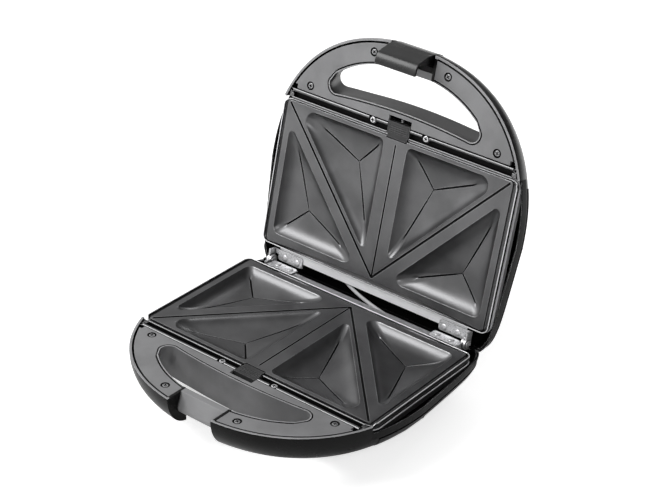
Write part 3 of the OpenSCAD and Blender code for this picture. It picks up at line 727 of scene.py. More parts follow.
def hole_rear(g, count):
    """Bowed rear edge of the finger hole from its right end, in steps of a sixteenth of a half."""
    return [(HOLE_END[0] * (1 - i / 16), HOLE_REAR - g - HOLE_BOW * (1 - i / 16) ** 2) for i in range(count)]


def hole_corner(g, side, first, last):
    """Rounded rear corner of the finger hole between two angles."""
    r = HOLE_END_R + g
    return [(side * HOLE_END[0] + r * math.cos(math.radians(a)), HOLE_END[1] - r * math.sin(math.radians(a)))
            for a in range(first, last, 9)]


def hole_front(x, g):
    """Front edge of the finger hole at x."""
    return min(front_v(x, GRIP - g), HOLE_FRONT + g)


def hole_ring(g):
    """Finger hole grown outwards by g."""
    ahead = [(x, hole_front(x, g)) for x in [-HOLE_HALF + 2 * HOLE_HALF * i / 40 for i in range(41)]]
    return hole_rear(g, 33) + hole_corner(g, -1, 105, 196) + ahead + hole_corner(g, 1, -15, 76)


def flared(points, amount):
    """The finger hole's outline widened at its two ends."""
    out = []
    for x, v in points:
        ease = min(1.0, max(0.0, (abs(x) - 42) / 27))
        out.append((x + math.copysign(amount * ease * ease * (3 - 2 * ease), x), v))
    return out


def hole_form(g, top, low, flare=10.0):
    """Solid of the finger hole, wider at its ends towards the outside of the shell."""
    part = bmesh.new()
    ring = hole_ring(g)
    stack(part, [level(flared(ring, flare), low), level(flared(ring, flare), -28),
                 level(flared(ring, flare * 0.42), -14), level(ring, -4), level(ring, top)])
    return part


# ------------------------------------------------------------------ housings

def low_rim(half, t):
    """How far the rim lies below its height at the handle."""
    return SIDE_DROP[half] if outline_point(t, (0, 0, 0))[1] < SIDE_RIM_END else 0.0


def side_in(wall, fall, t):
    """Insets of the brim: the upper side walls stand in from the outline."""
    v = outline_point(t, (0, 0, 0))[1]
    inset = [wall + b * fall for b in BRIM]
    if v < SIDE_RIM_END:
        inset[0] = max(inset[0], (SIDE_INSET + 0.6 * wall) * min(1, max(0, (v - 4) / 5)))
    return inset


def brim_points(half, wall, upper, place, count):
    """Ring of the brim: place runs from 0 to count between the rim and the ledge, or on to the crown."""
    points = []
    deep = BRIM_DEPTH - wall
    for t in TURNS:
        top = math.asin((0.75 + low_rim(half, t)) / deep)
        ledge = math.asin(LEDGE_DEPTH / deep)
        ahead = max(0.0, math.sin(t))
        ahead = ahead * ahead * (3 - 2 * ahead)
        bottom = math.radians(65.1 + 23.4 * ahead)
        a = top + (ledge - top) * place / count if upper else ledge + (bottom - ledge) * place / count
        proud = 0.0
        if not upper and wall == 0 and outline_point(t, (0, 0, 0))[1] < LEDGE_END:
            proud = 0.6
        inset = side_in(wall, 1 - math.cos(a), t)
        x, v = outline_point(t, [i - proud for i in inset])
        points.append((x, -v, -deep * math.sin(a) - (0.15 if proud and place == 0 else 0)))
    return points


def rim_points(half, wall, inward, under):
    """Ring of the rim's edge, under its top face by a small amount."""
    points = []
    for t in TURNS:
        low = low_rim(half, t)
        inset = side_in(wall, 1 - math.cos(math.asin((0.75 + low) / (BRIM_DEPTH - wall))), t)
        x, v = outline_point(t, [i + inward for i in inset])
        points.append((x, -v, RIM_TOP - low - under))
    return points


def crown_points(wall, inset, depths):
    """Ring of the crown at a depth that differs between rear and front."""
    points = []
    for t in TURNS:
        ahead = max(0.0, math.sin(t))
        ahead = ahead * ahead * (3 - 2 * ahead)
        x, v = outline_point(t, [i + wall for i in inset])
        points.append((x, -v, wall - depths[0] - (depths[1] - depths[0]) * ahead))
    return points


def crown_rings(wall):
    """Rings from the flat outside of a shell to its brim: insets, then depths at rear and front."""
    levels = (((33, 86, 21), (40, 40)), ((28.7, 81, 17), (39.3, 39.3)), ((25, 77, 14), (38, 38)),
              ((20.6, 72.6, 11.1), (36, 36)), ((17, 69, 9), (34, 34)), ((14.4, 65.6, 7.9), (32, 31.6)),
              ((12.9, 63.4, 7.1), (30, 29)), ((12.2, 61.5, 6.7), (29, 28.2)), ((11.5, 57, 6.3), (28, 28)),
              ((11.2, 40, 6.1), (27, 28)), ((10.9, 24, 5.9), (26.2, 28)))
    return [crown_points(wall, *one) for one in levels]


def outer_form(half):
    """Solid with the outside of a shell."""
    bm = bmesh.new()
    rings = crown_rings(0)
    rings += [brim_points(half, 0, False, k, 9) for k in range(9, -1, -1)]
    rings += [brim_points(half, 0, True, k, 6) for k in range(6, -1, -1)]
    rings += [rim_points(half, 0, 0.13, 0.13), rim_points(half, 0, 0.42, 0.0), rim_points(half, 0, 2.4, 0.0)]
    rings += [[(x, y, RIM_TOP) for x, y, w in rim_points(half, 0, 7, 0)]]
    stack(bm, rings)
    return bm


def cavity_form(half):
    """Solid that fills the inside of a shell, flared at the rim."""
    bm = bmesh.new()
    rings = crown_rings(2)
    rings += [brim_points(half, 2, False, k, 6) for k in range(6, -1, -1)]
    rings += [brim_points(half, 2, True, k, 3) for k in range(3, -1, -1)]
    rings += [rim_points(half, 2, -0.12, 0.13), rim_points(half, 2, -0.4, -0.001)]
    rings += [[(x, y, 5.0) for x, y, w in rim_points(half, 2, -0.4, 0)]]
    stack(bm, rings)
    return bm


def rear_wedge(half, grow):
    """Space behind the hinge that the other half needs."""
    slope = math.radians(52.6)
    w = AXIS_W[half] - 0.35
    v = 0.5 + grow
    far = 90
    profile = [(v, w), (v - far * math.cos(slope), w - grow - far * math.sin(slope)), (v - far, w + far),
               (v, w + far)]
    return prism(profile, -130, 130)


def housing(half):
    """A shell with its walls, finger hole and latch notch."""
    walls = [rear_wedge(half, 2), hole_form(1.85, -2.5, -34), slab(hole_ring(HOLE_LIP), -4, -0.55),
             block((-125, 141.6, -45), (125, 144, -7))]
    walls += pair(block((106.2, 134.2, -45), (125, 136, -1.2)))
    walls += pair(block((NOTCH_HALF, 181.4, -45), (NOTCH_HALF + 2, 210, RIM_TOP)))
    for x, v in COVER_SCREWS:
        walls += pair(rod(x, v, 4, -40, -2.5))
    walls += pair(rod(*RAIL_SCREW, 3.6, -40, -5.3))
    if half == "base":
        wall = [(181, RIM_TOP), (188.0, RIM_TOP), (188.45, -0.6), *PANEL_FACE, (181, -16.2)]
    else:
        wall = [(181, RIM_TOP), (188.4, RIM_TOP), (188.4, -16.5), (214, -16.5), (214, -18.1),
                (186.6, -18.1), (186.6, -2.4), (181, -2.4)]
    walls.append(prism(wall, -NOTCH_HALF, NOTCH_HALF))
    inside = carved(cavity_form(half), walls)
    cuts = [inside, rear_wedge(half, 0), block((-99.5, -12, -9), (99.5, 4.4, 5)), hole_form(0, 6, -45)]
    body = outer_form(half)
    if half == "base":
        feet = pair(foot_pad(86, 47)) + pair(foot_pad(58, 110)) + pair(heel(58, 12))
        body = carved(body, feet, "UNION")
        notch = [(187.7, 3), (187.7, RIM_TOP - 0.02), (188.25, -0.42), (188.45, -0.8), *PANEL_FACE,
                 (180, -16.2), (180, -60), (240, -60), (240, 3)]
        cuts.append(prism(notch, -NOTCH_HALF, NOTCH_HALF))
        cuts.append(block((-18.3, 184.2, -17.2), (18.3, 186.4, -3.5)))
        cuts.append(turned_part([(0, 0), (5.5, 0), (5.5, 60), (0, 60)],
                                Matrix.Translation((48, 0, -31)) @ Matrix.Rotation(-math.pi / 2, 4, "X")))
    else:
        cuts.append(block((-NOTCH_HALF, 188.4, -16.5), (NOTCH_HALF, 240, 5)))
        cuts.append(lying(-22.4, 22.4, *LATCH_AXIS, 1.5))
        cuts += pair(rod(12, 106, 3.7, -60, -28))
    return carved(body, cuts)


def foot_pad(x, v):
    profile = [(0, -30), (8.2, -30), (8.2, -40.2), (7.9, -40.8), (7.2, -41), (0, -41)]
    return turned_part(profile, upright(x, v), 40)


def heel(x, v):
    return turned_part([(0, -36), (6, -36), (6, -45), (5.7, -45.7), (5, -46), (0, -46)], upright(x, v), 40)


SHELL_TONES_AND_PAINTED_LIGHT = {"base": [SHELL, RIM_PAINTED_REFLECTION, HOLE_WALL_PAINTED_LIGHT, PANEL, SIDE_RIM],
                  "lid": [SHELL, RIM_PAINTED_REFLECTION, LID_HOLE_WALL_PAINTED_LIGHT, PANEL, SIDE_RIM]}
ON_RIM, IN_HOLE, ON_PANEL, ON_SIDE_RIM = 1, 2, 3, 4


def mark_housing(bm):
    """Rim tops get a pale painted reflection, darker beside the plate; the hole's wall is painted light; the
    notch panel is a lighter grey.
    """
    for face in bm.faces:
        c = face.calc_center_median()
        x, v, w = abs(c.x), -c.y, c.z
        n = face.normal
        if x < 20.4 and 180 < v < 194 and w > -16.4 and (n.z > 0.3 or n.y < -0.3):
            face.material_index = ON_PANEL
        elif abs(n.z) < 0.6 and w > -28.2 and 146 < v < 184.5 and x < 82 and in_hole(min(x, 70), v):
            face.material_index = IN_HOLE
        elif n.z > 0.8 and w > -7.9 and (v > 134 or x > 100) and rim_near(x, v):
            face.material_index = ON_RIM if v > SIDE_RIM_END else ON_SIDE_RIM
        # Upward faces round the finger hole take the same painted reflection.
        elif n.z > 0.5 and w > -1 and 146 < v < 186 and x < 72:
            face.material_index = ON_RIM


def in_hole(x, v):
    """True within the finger hole, with 1 mm to spare."""
    rear = HOLE_REAR - HOLE_BOW * (x / HOLE_END[0]) ** 2 - 1.0
    return rear < v < hole_front(min(x, 98), 0) + 1.0


def rim_near(x, v):
    """True within the width of the rim."""
    if v > WIDEST:
        edge = HALF_W * max(0.0, 1 - ((v - WIDEST) / FRONT) ** 2.3) ** (1 / 2.3)
        ahead = front_v(min(x, 118), 0)
        return x > edge - 2.6 or v > ahead - 2.6
    return x > 100


for half in ("base", "lid"):
    shell = housing(half)
    bmesh.ops.recalc_face_normals(shell, faces=shell.faces)
    mark_housing(shell)
    piece(shell, f"{half}_shell", half, half, SHELL_TONES_AND_PAINTED_LIGHT[half], [f"{half}_housing"],
          sharp=28, recalc=False)


# ------------------------------------------------------------------ handle covers

NOTCH_EDGE = 22.4


def cover_outline():
    """Outline of a handle cover round the finger hole and beside the latch notch."""
    t0 = math.asin(((145.8 - WIDEST) / (FRONT - COVER_IN)) ** 1.15)
    t1 = math.acos((NOTCH_EDGE / (HALF_W - COVER_IN)) ** 1.15)
    arc = [outline_point(t0 + (t1 - t0) * i / 48, (COVER_IN, COVER_IN, COVER_IN)) for i in range(49)]
    ring = hole_ring(HOLE_GAP)
    ahead = sorted([p for p in ring if NOTCH_EDGE < p[0] < 66 and p[1] > 159], key=lambda p: p[0])
    inner = [(NOTCH_EDGE, hole_front(NOTCH_EDGE, HOLE_GAP))] + ahead + hole_corner(HOLE_GAP, 1, -15, 76)
    inner += hole_rear(HOLE_GAP, 17)
    half_loop = [(0, 147.6), (10.4, 147.6), (10.4, 142.3), (99.2, 142.3), (99.2, 145.8)] + arc + inner
    other = [(-x, v) for x, v in reversed(half_loop[1:-1])]
    return half_loop + other


def handle_cover():
    """Flat cover with a rounded top edge and a well for each screw."""
    bm = bmesh.new()
    ring = ring_of(bm, level(cover_outline(), -2.5))
    under = cap(bm, ring)[0]
    for g in bmesh.ops.extrude_face_region(bm, geom=[under])["geom"]:
        if isinstance(g, bmesh.types.BMVert):
            g.co.z = -0.5
    bmesh.ops.recalc_face_normals(bm, faces=bm.faces)
    rims = [e for e in bm.edges if all(v.co.z > -0.6 for v in e.verts)]
    bmesh.ops.bevel(bm, geom=rims, offset=0.35, offset_type="OFFSET", segments=2, profile=0.5,
                    affect="EDGES", clamp_overlap=True, material=-1)
    wells = []
    for x, v in COVER_SCREWS:
        wells += pair(turned_part([(0, -3.5), (1.8, -3.5), (1.8, -2.1), (3.25, -2.1), (3.25, -0.7), (3.5, -0.5),
                                   (3.5, 1), (0, 1)], upright(x, v), 40))
    cover = carved(bm, wells)
    # Faces inside each screw well take painted shade.
    for face in cover.faces:
        c = face.calc_center_median()
        near = min(math.hypot(abs(c.x) - x, -c.y - v) for x, v in COVER_SCREWS)
        if near < 3.45 and -2.4 < c.z < -0.55:
            face.material_index = 1
    return cover


def screw_head(x, v, seat, head_r, head_h, turn):
    """Cross-recess screw head, slightly domed."""
    top = seat + head_h
    head = turned_part([(0, seat - 3), (1.45, seat - 3), (1.45, seat), (head_r, seat), (head_r, top - 0.35),
                        (head_r - 0.12, top - 0.15), (head_r - 0.45, top - 0.02), (head_r * 0.5, top + 0.06),
                        (0, top + 0.08)], upright(x, v), 36)
    slots = []
    for a in (turn, turn + math.pi / 2):
        slot = block((-head_r * 0.68, -0.44, top - 1.1), (head_r * 0.68, 0.44, top + 1))
        bmesh.ops.transform(slot, matrix=upright(x, v) @ Matrix.Rotation(a, 4, "Z"), verts=slot.verts)
        slots.append(slot)
    head = carved(head, slots)
    # The cross recess takes painted shade.
    for face in head.faces:
        c = face.calc_center_median()
        if math.hypot(c.x - x, -c.y - v) < head_r * 0.72 and seat - 0.5 < c.z < top - 0.12:
            face.material_index = 1
    return head


for half in ("base", "lid"):
    piece(handle_cover(), f"{half}_cover", half, half, [COVER, WELL_PAINTED_SHADE],
          [f"{half}_handle_cover"])
    heads = bmesh.new()
    merge(heads, *[screw_head(s * x, v, -1.5, 2.25, 0.9, 0.5 + s + x) for s in (-1, 1)
                   for x, v in COVER_SCREWS])
    piece(heads, f"{half}_cover_screw_heads", half, half, [DARK_SCREW, WELL_PAINTED_SHADE],
          [f"{half}_cover_screws"])


# ------------------------------------------------------------------ cooking plates

PLATE_TOP = -0.3
PLATE_UNDER = -3.3
SOFT_DEPTH = 6.0
POCKET_DEPTH = 8.4
CREASE = 0.8
GROOVE_HALF = 1.25
ON_LIP, IN_GROOVE, GROOVE_EDGE = 1, 2, 3

# The plate's edge from the land over the channel to the lip: rounded frame, then height
PLATE_EDGE_RINGS = (((105.2, 13.3, 131.4, 2.4, 3.4), -0.42), ((105.4, 13.1, 131.5, 2.5, 3.4), -0.75),
                    ((105.4, 13.1, 131.5, 2.5, 3.4), -2.0), ((105.8, 12.8, 131.55, 2.9, 3.1), -2.35),
                    ((106.3, 12.7, 131.6, 3.4, 2.6), -2.42), ((108.3, 12.5, 131.85, 4.9, 0.2), -2.42),
                    ((108.6, 12.35, 131.95, 5.1, 0), -2.2), ((108.65, 12.25, 131.98, 5.1, 0), -0.5),
                    ((108.8, 12.1, 132.05, 5.3, 0), -0.33), ((109.3, 11.6, 132.35, 5.8, 0), -0.33),
                    ((109.5, 11.4, 132.5, 6, 0), -0.55), ((109.5, 11.4, 132.5, 6, 0), -3.05),
                    ((109.25, 11.65, 132.25, 5.8, 0), PLATE_UNDER))


def rounding(tri, radii, apex):
    """Corner facts of a pocket triangle: direction of its sides and rounding."""
    out = []
    n = len(tri)
    for i in range(n):
        p = Vector(tri[i])
        back = (Vector(tri[i - 1]) - p).normalized()
        on = (Vector(tri[(i + 1) % n]) - p).normalized()
        out.append((p, back, on, back.angle(on) / 2, radii[i]))
    return out


def pocket_ring(corners, apex, k, sides=5):
    """Ring of a pocket shrunk towards its lowest point by k, with a point on every crease."""
    apex = Vector(apex)
    points = []
    marks = []
    for p, back, on, half_angle, r in corners:
        corner = apex + (p - apex) * k
        r = max(r * k, 0.02)
        tangent = r / math.tan(half_angle)
        sweep = math.pi - 2 * half_angle
        reach = r * sweep / 2
        centre = corner + (back + on).normalized() * r / math.sin(half_angle)
        end = max(reach, CREASE) + 0.35 * tangent + 0.1
        offsets = [CREASE] + [CREASE + (end - CREASE) * j / (sides - 1) for j in range(1, sides)]
        line = [-s for s in reversed(offsets)] + [0.0] + offsets
        mid = (corner - centre).normalized()
        for s in line:
            if abs(s) <= reach:
                a = s / r
                turn = 1 if back.cross(on) < 0 else -1
                c, q = math.cos(a * turn), math.sin(a * turn)
                d = Vector((mid.x * c - mid.y * q, mid.x * q + mid.y * c))
                spot = centre + d * r
            else:
                side = on if s > 0 else back
                spot = corner + side * (tangent + abs(s) - reach)
            points.append((spot.x, spot.y))
            marks.append(s == 0.0)
    return points, marks


def pocket_facts():
    """Corners, roundings and lowest point of the front and the rear pocket on the right."""
    diagonal = Vector((103, 113)).normalized()
    slope = diagonal.y / diagonal.x
    ahead = 17 + 4.2 / diagonal.x
    behind = 17 - 9 / diagonal.x
    front = [(11, 128.3), ((128.3 - ahead) / slope, 128.3), (11, ahead + slope * 11)]
    rear = [(100, 21.5), ((21.5 - behind) / slope, 21.5), (100, behind + slope * 100)]
    return [(front, (5, 8, 3), (35.4, 101)), (rear, (6, 5.5, 3.7), (74.2, 47))]


def inradius(tri):
    """Radius of the largest circle in a triangle."""
    a, b, c = [(Vector(tri[i]) - Vector(tri[(i + 1) % 3])).length for i in range(3)]
    return abs((Vector(tri[1]) - Vector(tri[0])).cross(Vector(tri[2]) - Vector(tri[0]))) / (a + b + c)


def pocket_depth(d, inner):
    """Depth of the soft wall and of the sloping floor at the distance d from the pocket's edge."""
    soft = SOFT_DEPTH * (1 - math.exp(-max(d, 0) / 4.2))
    return soft + (POCKET_DEPTH - SOFT_DEPTH) * max(d, 0) / inner


def sink_pocket(bm, ring, tri, radii, apex, mirror, under):
    """Shapes a pocket from its outer ring down to its lowest point."""
    corners = rounding(tri, radii, apex)
    inner = inradius(tri)
    if under:
        steps = [-0.6, 1, 3, 6, 9.5, 14, 19, inner - 0.6]
    else:
        steps = [-0.55, -0.25, 0.1, 0.45, 0.9, 1.5, 2.3, 3.3, 4.5, 6, 8, 10.5, 14, 18, 22]
        steps = [s for s in steps if s < inner - 2] + [inner - 1.2, inner - 0.5]
    lips = {-0.55: 0.14, -0.25: 0.17, 0.1: 0.02}
    for d in steps:
        points, marks = pocket_ring(corners, apex, 1 - d / inner)
        place = []
        for (x, v), mark in zip(points, marks):
            w = PLATE_TOP - pocket_depth(d, inner) + (lips.get(d, -0.08) if not under else -2.2)
            if mark and d > 5 and not under:
                w -= 1.25 * min(1, (d - 5) / 3)
            place.append((x * mirror, -v, w))
        ring = next_ring(bm, ring, place)
    cap(bm, ring)


def frame_ring(half_x, v0, v1, r, bow):
    """Rectangle with rounded corners whose rear edge bows forward in the middle."""
    points = []
    for cx, cv, a0 in ((half_x - r, v1 - r, 0), (r - half_x, v1 - r, 90), (r - half_x, v0 + r, 180),
                       (half_x - r, v0 + r, 270)):
        for j in range(7):
            a = math.radians(a0 + 15 * j)
            points.append([cx + r * math.cos(a), cv + r * math.sin(a)])
        if a0 == 0:
            points += [[x, v1] for x in [(half_x - r) * (1 - i / 12) for i in range(1, 24)]]
        if a0 == 90:
            points += [[-half_x, v1 - r - (v1 - v0 - 2 * r) * i / 12] for i in range(1, 12)]
        if a0 == 180:
            points += [[x, v0] for x in [(r - half_x) * (1 - i / 16) for i in range(1, 32)]]
        if a0 == 270:
            points += [[half_x, v0 + r + (v1 - v0 - 2 * r) * i / 12] for i in range(1, 12)]
    middle = (v0 + v1) / 2
    for p in points:
        if p[1] < middle:
            rise = bow * (1 - (p[0] / half_x) ** 2)
            p[1] += rise * (middle - p[1]) / (middle - v0)
    return [tuple(p) for p in points]


def trident():
    """Outline of the three grooves that meet at the rear."""
    start = Vector((0, 18.3))
    end = Vector((103, 130))
    d = (end - start).normalized()
    n = Vector((d.y, -d.x)) * GROOVE_HALF
    right_out = start + n + d * ((1 - n.x) / d.x)
    right_in = start - n + d * ((1 + n.x) / d.x)
    tip = [end + n, end + n * 0.6 + d * 0.5, end - n * 0.6 + d * 0.5, end - n]
    right = [(0.6, 17.5), tuple(right_out)] + [tuple(p) for p in tip]
    right += [tuple(right_in), (1, 126.6), (0.6, 127)]
    left = [(-x, v) for x, v in reversed(right)]
    return right + left


def pocket_edges(bm, w):
    """Outer ring of each pocket at the height w, with the facts that shape it."""
    out = []
    for tri, radii, apex in pocket_facts():
        for side in (1, -1):
            points, marks = pocket_ring(rounding(tri, radii, apex), apex, 1 + 0.9 / inradius(tri))
            out.append((ring_of(bm, [(side * x, -v, w) for x, v in points]), tri, radii, apex, side))
    return out


def edge_ring(frame_at, w):
    """Ring of the plate's edge. The lip rises at the sides and the rear, not along the rail."""
    if frame_at[0] <= 106 or w <= -3:
        return level(frame_ring(*frame_at), w)
    low = min(w, -2.15 - (0.3 if w < -1 else 0))
    return [(x, -v, low if v > 130 else w) for x, v in frame_ring(*frame_at)]


def cooking_plate():
    """Cast plate with four pockets, three grooves, a channel and a lip."""
    bm = bmesh.new()
    land = ring_of(bm, level(frame_ring(104.9, 13.6, 131.1, 2.2, 3.4), PLATE_TOP))
    pockets = pocket_edges(bm, PLATE_TOP)
    grooves = ring_of(bm, level(trident(), PLATE_TOP))
    bmesh.ops.triangle_fill(bm, use_beauty=True, use_dissolve=False, edges=bm.edges[:])
    for ring, tri, radii, apex, side in pockets:
        sink_pocket(bm, ring, tri, radii, apex, side, False)
    floor = cap(bm, grooves)[0]
    if floor.normal.z < 0:
        bmesh.ops.reverse_faces(bm, faces=[floor])
    # The groove's first ring takes a painted highlight; its walls and floor take painted shade.
    for inset, depth, finish in ((0.32, -0.08, GROOVE_EDGE), (0.08, -0.4, IN_GROOVE), (0.05, -0.8, IN_GROOVE),
                                 (0.1, -0.4, IN_GROOVE)):
        walls = bmesh.ops.inset_region(bm, faces=[floor], thickness=inset, depth=depth, use_even_offset=True)
        for face in walls["faces"]:
            face.material_index = finish
    floor.material_index = IN_GROOVE
    ring = land
    for frame_at, w in PLATE_EDGE_RINGS:
        before = set(bm.faces)
        ring = next_ring(bm, ring, edge_ring(frame_at, w))
        # The lip's top takes the painted highlight; its outer wall low down takes the groove's painted shade.
        if w in (-0.33, -3.05):
            for face in set(bm.faces) - before:
                face.material_index = ON_LIP if w == -0.33 else IN_GROOVE
    bottom = edges_of(bm, ring)
    under = pocket_edges(bm, PLATE_UNDER)
    for loop, *facts in under:
        bottom += edges_of(bm, loop)
    bmesh.ops.triangle_fill(bm, use_beauty=True, use_dissolve=False, edges=bottom)
    for loop, tri, radii, apex, side in under:
        sink_pocket(bm, loop, tri, radii, apex, side, True)
    plate = carved(bm, [block((-9.6, 130.1, -2.4), (9.6, 135, 1))])
    hook = block((35, 8.9, -4.6), (45, 15.4, -3.2), 0.3)
    return merge(plate, mirrored(hook), hook)


for half in ("base", "lid"):
    piece(cooking_plate(), f"{half}_plate", half, half,
          [NONSTICK, LIP_HIGHLIGHT_AND_PAN_BEAD, GROOVE_PAINTED_SHADE, GROOVE_LIP_PAINTED_HIGHLIGHT], [f"{half}_cooking_plate"], sharp=35)


# ------------------------------------------------------------------ catch springs

COIL_V = (143.8, 150.25)
COIL_W = -4.7
COIL_TURNS = 5
COIL_STEPS = 28
WIRE_R = 0.3


def catch_coil():
    """Compression spring behind the catch."""
    first, last = COIL_V
    steps = COIL_STEPS * COIL_TURNS
    rings = []
    for i in range(steps + 1):
        a = math.tau * i / COIL_STEPS
        v = first + WIRE_R + (last - first - 2 * WIRE_R) * i / steps
        points = []
        for j in range(10):
            b = math.tau * j / 10
            r = 1 + WIRE_R * math.cos(b)
            points.append((r * math.cos(a), -(v + WIRE_R * math.sin(b)), COIL_W + r * math.sin(a)))
        rings.append(points)
    return tube(rings)


for half in ("base", "lid"):
    spring = piece(catch_coil(), f"{half}_catch_coil", half, half, [SPRING],
                   [f"{half}_catch_spring"], sharp=60)
    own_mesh(spring)


# ------------------------------------------------------------------ wiring sleeve

# Way of the sleeve from the lid to the base as (x, y, w) with the lid open
SLEEVE_WAY = [(-34, 17.5, 0.8), (-28, 10.6, 0), (-16.5, 5.4, -1.4), (-1, 2.4, -4.4), (17, -0.8, -6.2),
              (32, -3.4, -7.4), (39, -9, -14)]
SLEEVE_STEP = 0.3
SLEEVE_SIDES = 54
SLEEVE_R = 1.34
STRANDS = 9
BRAID_PITCH = 22.0


def braided_sleeve():
    """Woven tube: strands run round it both ways and cross over and under each other."""
    way = smooth_way(SLEEVE_WAY, SLEEVE_STEP)
    side = Vector((0, 0, 1))
    rings = []
    for i, p in enumerate(way):
        ahead = (way[min(i + 1, len(way) - 1)] - way[max(i - 1, 0)]).normalized()
        side = (side - ahead * side.dot(ahead)).normalized()
        other = ahead.cross(side)
        s = SLEEVE_STEP * i
        slack = 0.03 * math.sin(s / 5.3) + 0.018 * math.sin(s / 2.1 + 1)
        points = []
        for j in range(SLEEVE_SIDES):
            a = math.tau * j / SLEEVE_SIDES
            right = math.cos(STRANDS * (a + math.tau * s / BRAID_PITCH))
            left = math.cos(STRANDS * (a - math.tau * s / BRAID_PITCH))
            r = SLEEVE_R + slack + 0.08 * max(right, left)
            points.append(p + side * (r * math.cos(a) * 1.06) + other * (r * math.sin(a) * 0.94))
        rings.append(points)
    return tube(rings)


sleeve = piece(braided_sleeve(), "braided_sleeve", "base", None, [SLEEVE], ["wiring_sleeve"],
               sharp=80)
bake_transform(sleeve)


# ------------------------------------------------------------------ rails, pan edges and catches

RAIL_END = 103
CATCH_GAP = 10.4


def bead(v, w, r, x0, x1):
    """Rounded fold of sheet along X."""
    return turned_part([(0, 0), (r * 0.8, 0), (r, 0.3), (r, x1 - x0 - 0.3), (r * 0.8, x1 - x0), (0, x1 - x0)],
                       sideways(x0, v, w), 24)


def curl(x):
    """Rolled tab at the end of a rail."""
    bm = bmesh.new()
    place = Matrix.Translation((1.5, 0, 0)) @ Matrix.Rotation(math.pi / 2, 4, "X")
    verts = bmesh.ops.create_circle(bm, segments=12, radius=0.75, matrix=place)["verts"]
    edges = list(dict.fromkeys(e for v in verts for e in v.link_edges))
    bmesh.ops.spin(bm, geom=verts + edges, cent=(0, 0, 0), axis=(0, 0, 1), angle=math.radians(270), steps=18)
    bmesh.ops.holes_fill(bm, edges=[e for e in bm.edges if e.is_boundary], sides=0)
    bmesh.ops.transform(bm, matrix=Matrix.Translation((x, -139.4, -2.2)), verts=bm.verts)
    return bm


def front_rail():
    """Folded channel with two rounded folds, broken for the catch and for its two screws."""
    x, v = RAIL_SCREW
    halves = ((-RAIL_END, -CATCH_GAP), (CATCH_GAP, RAIL_END))
    parts = [bead(134.2, -1.25, 0.75, x0, x1) for x0, x1 in halves]
    for x0, x1 in ((-RAIL_END, -28), (-21.6, -CATCH_GAP), (CATCH_GAP, 21.6), (28, RAIL_END)):
        parts.append(bead(140.2, -1.9, 1.5, x0, x1))
    for x0, x1 in halves:
        parts.append(block((x0, 139.8, -5.2), (x1, 140.6, -2.6)))
        parts.append(block((x0, 133.8, -5.2), (x1, 134.6, -1.4)))
    parts.append(block((-RAIL_END, 133.8, -5.3), (RAIL_END, 141, -4.5), 0.1))
    parts += pair(block((102, 133.9, -5.3), (105.9, 137.4, -1.2), 0.5))
    parts += pair(turned_part([(0, -5.3), (3, -5.3), (3, -2.6), (2.8, -2.4), (0, -2.4)], upright(x, v)))
    parts += pair(curl(104.6))
    rail = merge(bmesh.new(), *parts)
    # Faces low in the channel take painted shade.
    for face in rail.faces:
        if face.calc_center_median().z < -2.9:
            face.material_index = 1
    return rail


PAN_BEAD_R = 0.45


def pan_bead():
    """Rolled edge of the reflector pan, seen below the plate."""
    bm = bmesh.new()
    loops = []
    for a in range(0, 360, 45):
        out = PAN_BEAD_R * math.cos(math.radians(a))
        up = PAN_BEAD_R * math.sin(math.radians(a))
        points = frame_ring(109.3 + out, 10.2 - out, 133.1 + out, 9, 0)
        loops.append([(x, -v, up - 5.95) for x, v in points])
    first = ring_of(bm, loops[0])
    last = first
    for points in loops[1:]:
        last = next_ring(bm, last, points)
    bmesh.ops.bridge_loops(bm, edges=edges_of(bm, last) + edges_of(bm, first))
    return bm


# The pan's rolled bead shows its own bright aluminium.
for half in ("base", "lid"):
    piece(pan_bead(), f"{half}_pan_bead", half, half, [LIP_HIGHLIGHT_AND_PAN_BEAD], [])


def plate_catch():
    """Slide with four grip grooves and a tongue that reaches over the plate."""
    tongue = block((-9, 130.9, -2), (9, 134.5, -0.5))
    body = softened(carved(block((-10, 133.7, -4.2), (10, 143.4, -0.5)), [tongue], "UNION"), 0.3)
    grips = [block((-8, 135.2 + 1.6 * i, -1), (8, 135.9 + 1.6 * i, 1)) for i in range(4)]
    body = carved(body, grips)
    return merge(body, block((-4, 141.5, -6), (4, 143.4, -4), 0.2))


for half in ("base", "lid"):
    piece(front_rail(), f"{half}_rail", half, half, [RAIL_STEEL_PAINTED_DARK, WELL_PAINTED_SHADE],
          [f"{half}_front_rail"])
    heads = bmesh.new()
    merge(heads, *[screw_head(s * RAIL_SCREW[0], RAIL_SCREW[1], -2.4, 2.4, 1.5, 0.8 + s) for s in (-1, 1)])
    piece(heads, f"{half}_rail_screw_heads", half, half, [STEEL, WELL_PAINTED_SHADE],
          [f"{half}_rail_screws"])
    piece(plate_catch(), f"{half}_catch", half, f"{half}_catch", [CATCH], [f"{half}_plate_catch"],
          recalc=False)


# ------------------------------------------------------------------ hinge

EAR_T = 1.5
EAR_AT = {"base": 93.0, "lid": 95.1}
RIVETS = ((72, 4), (84.5, 4))


def rounded_plate(x0, x1, v0, v1, r):
    """Plan outline of a rectangle with rounded corners."""
    points = []
    for cx, cv, a0 in ((x1 - r, v1 - r, 0), (x0 + r, v1 - r, 90),
                       (x0 + r, v0 + r, 180), (x1 - r, v0 + r, 270)):
        for j in range(7):
            a = math.radians(a0 + 15 * j)
            points.append((cx + r * math.cos(a), cv + r * math.sin(a)))
    return points


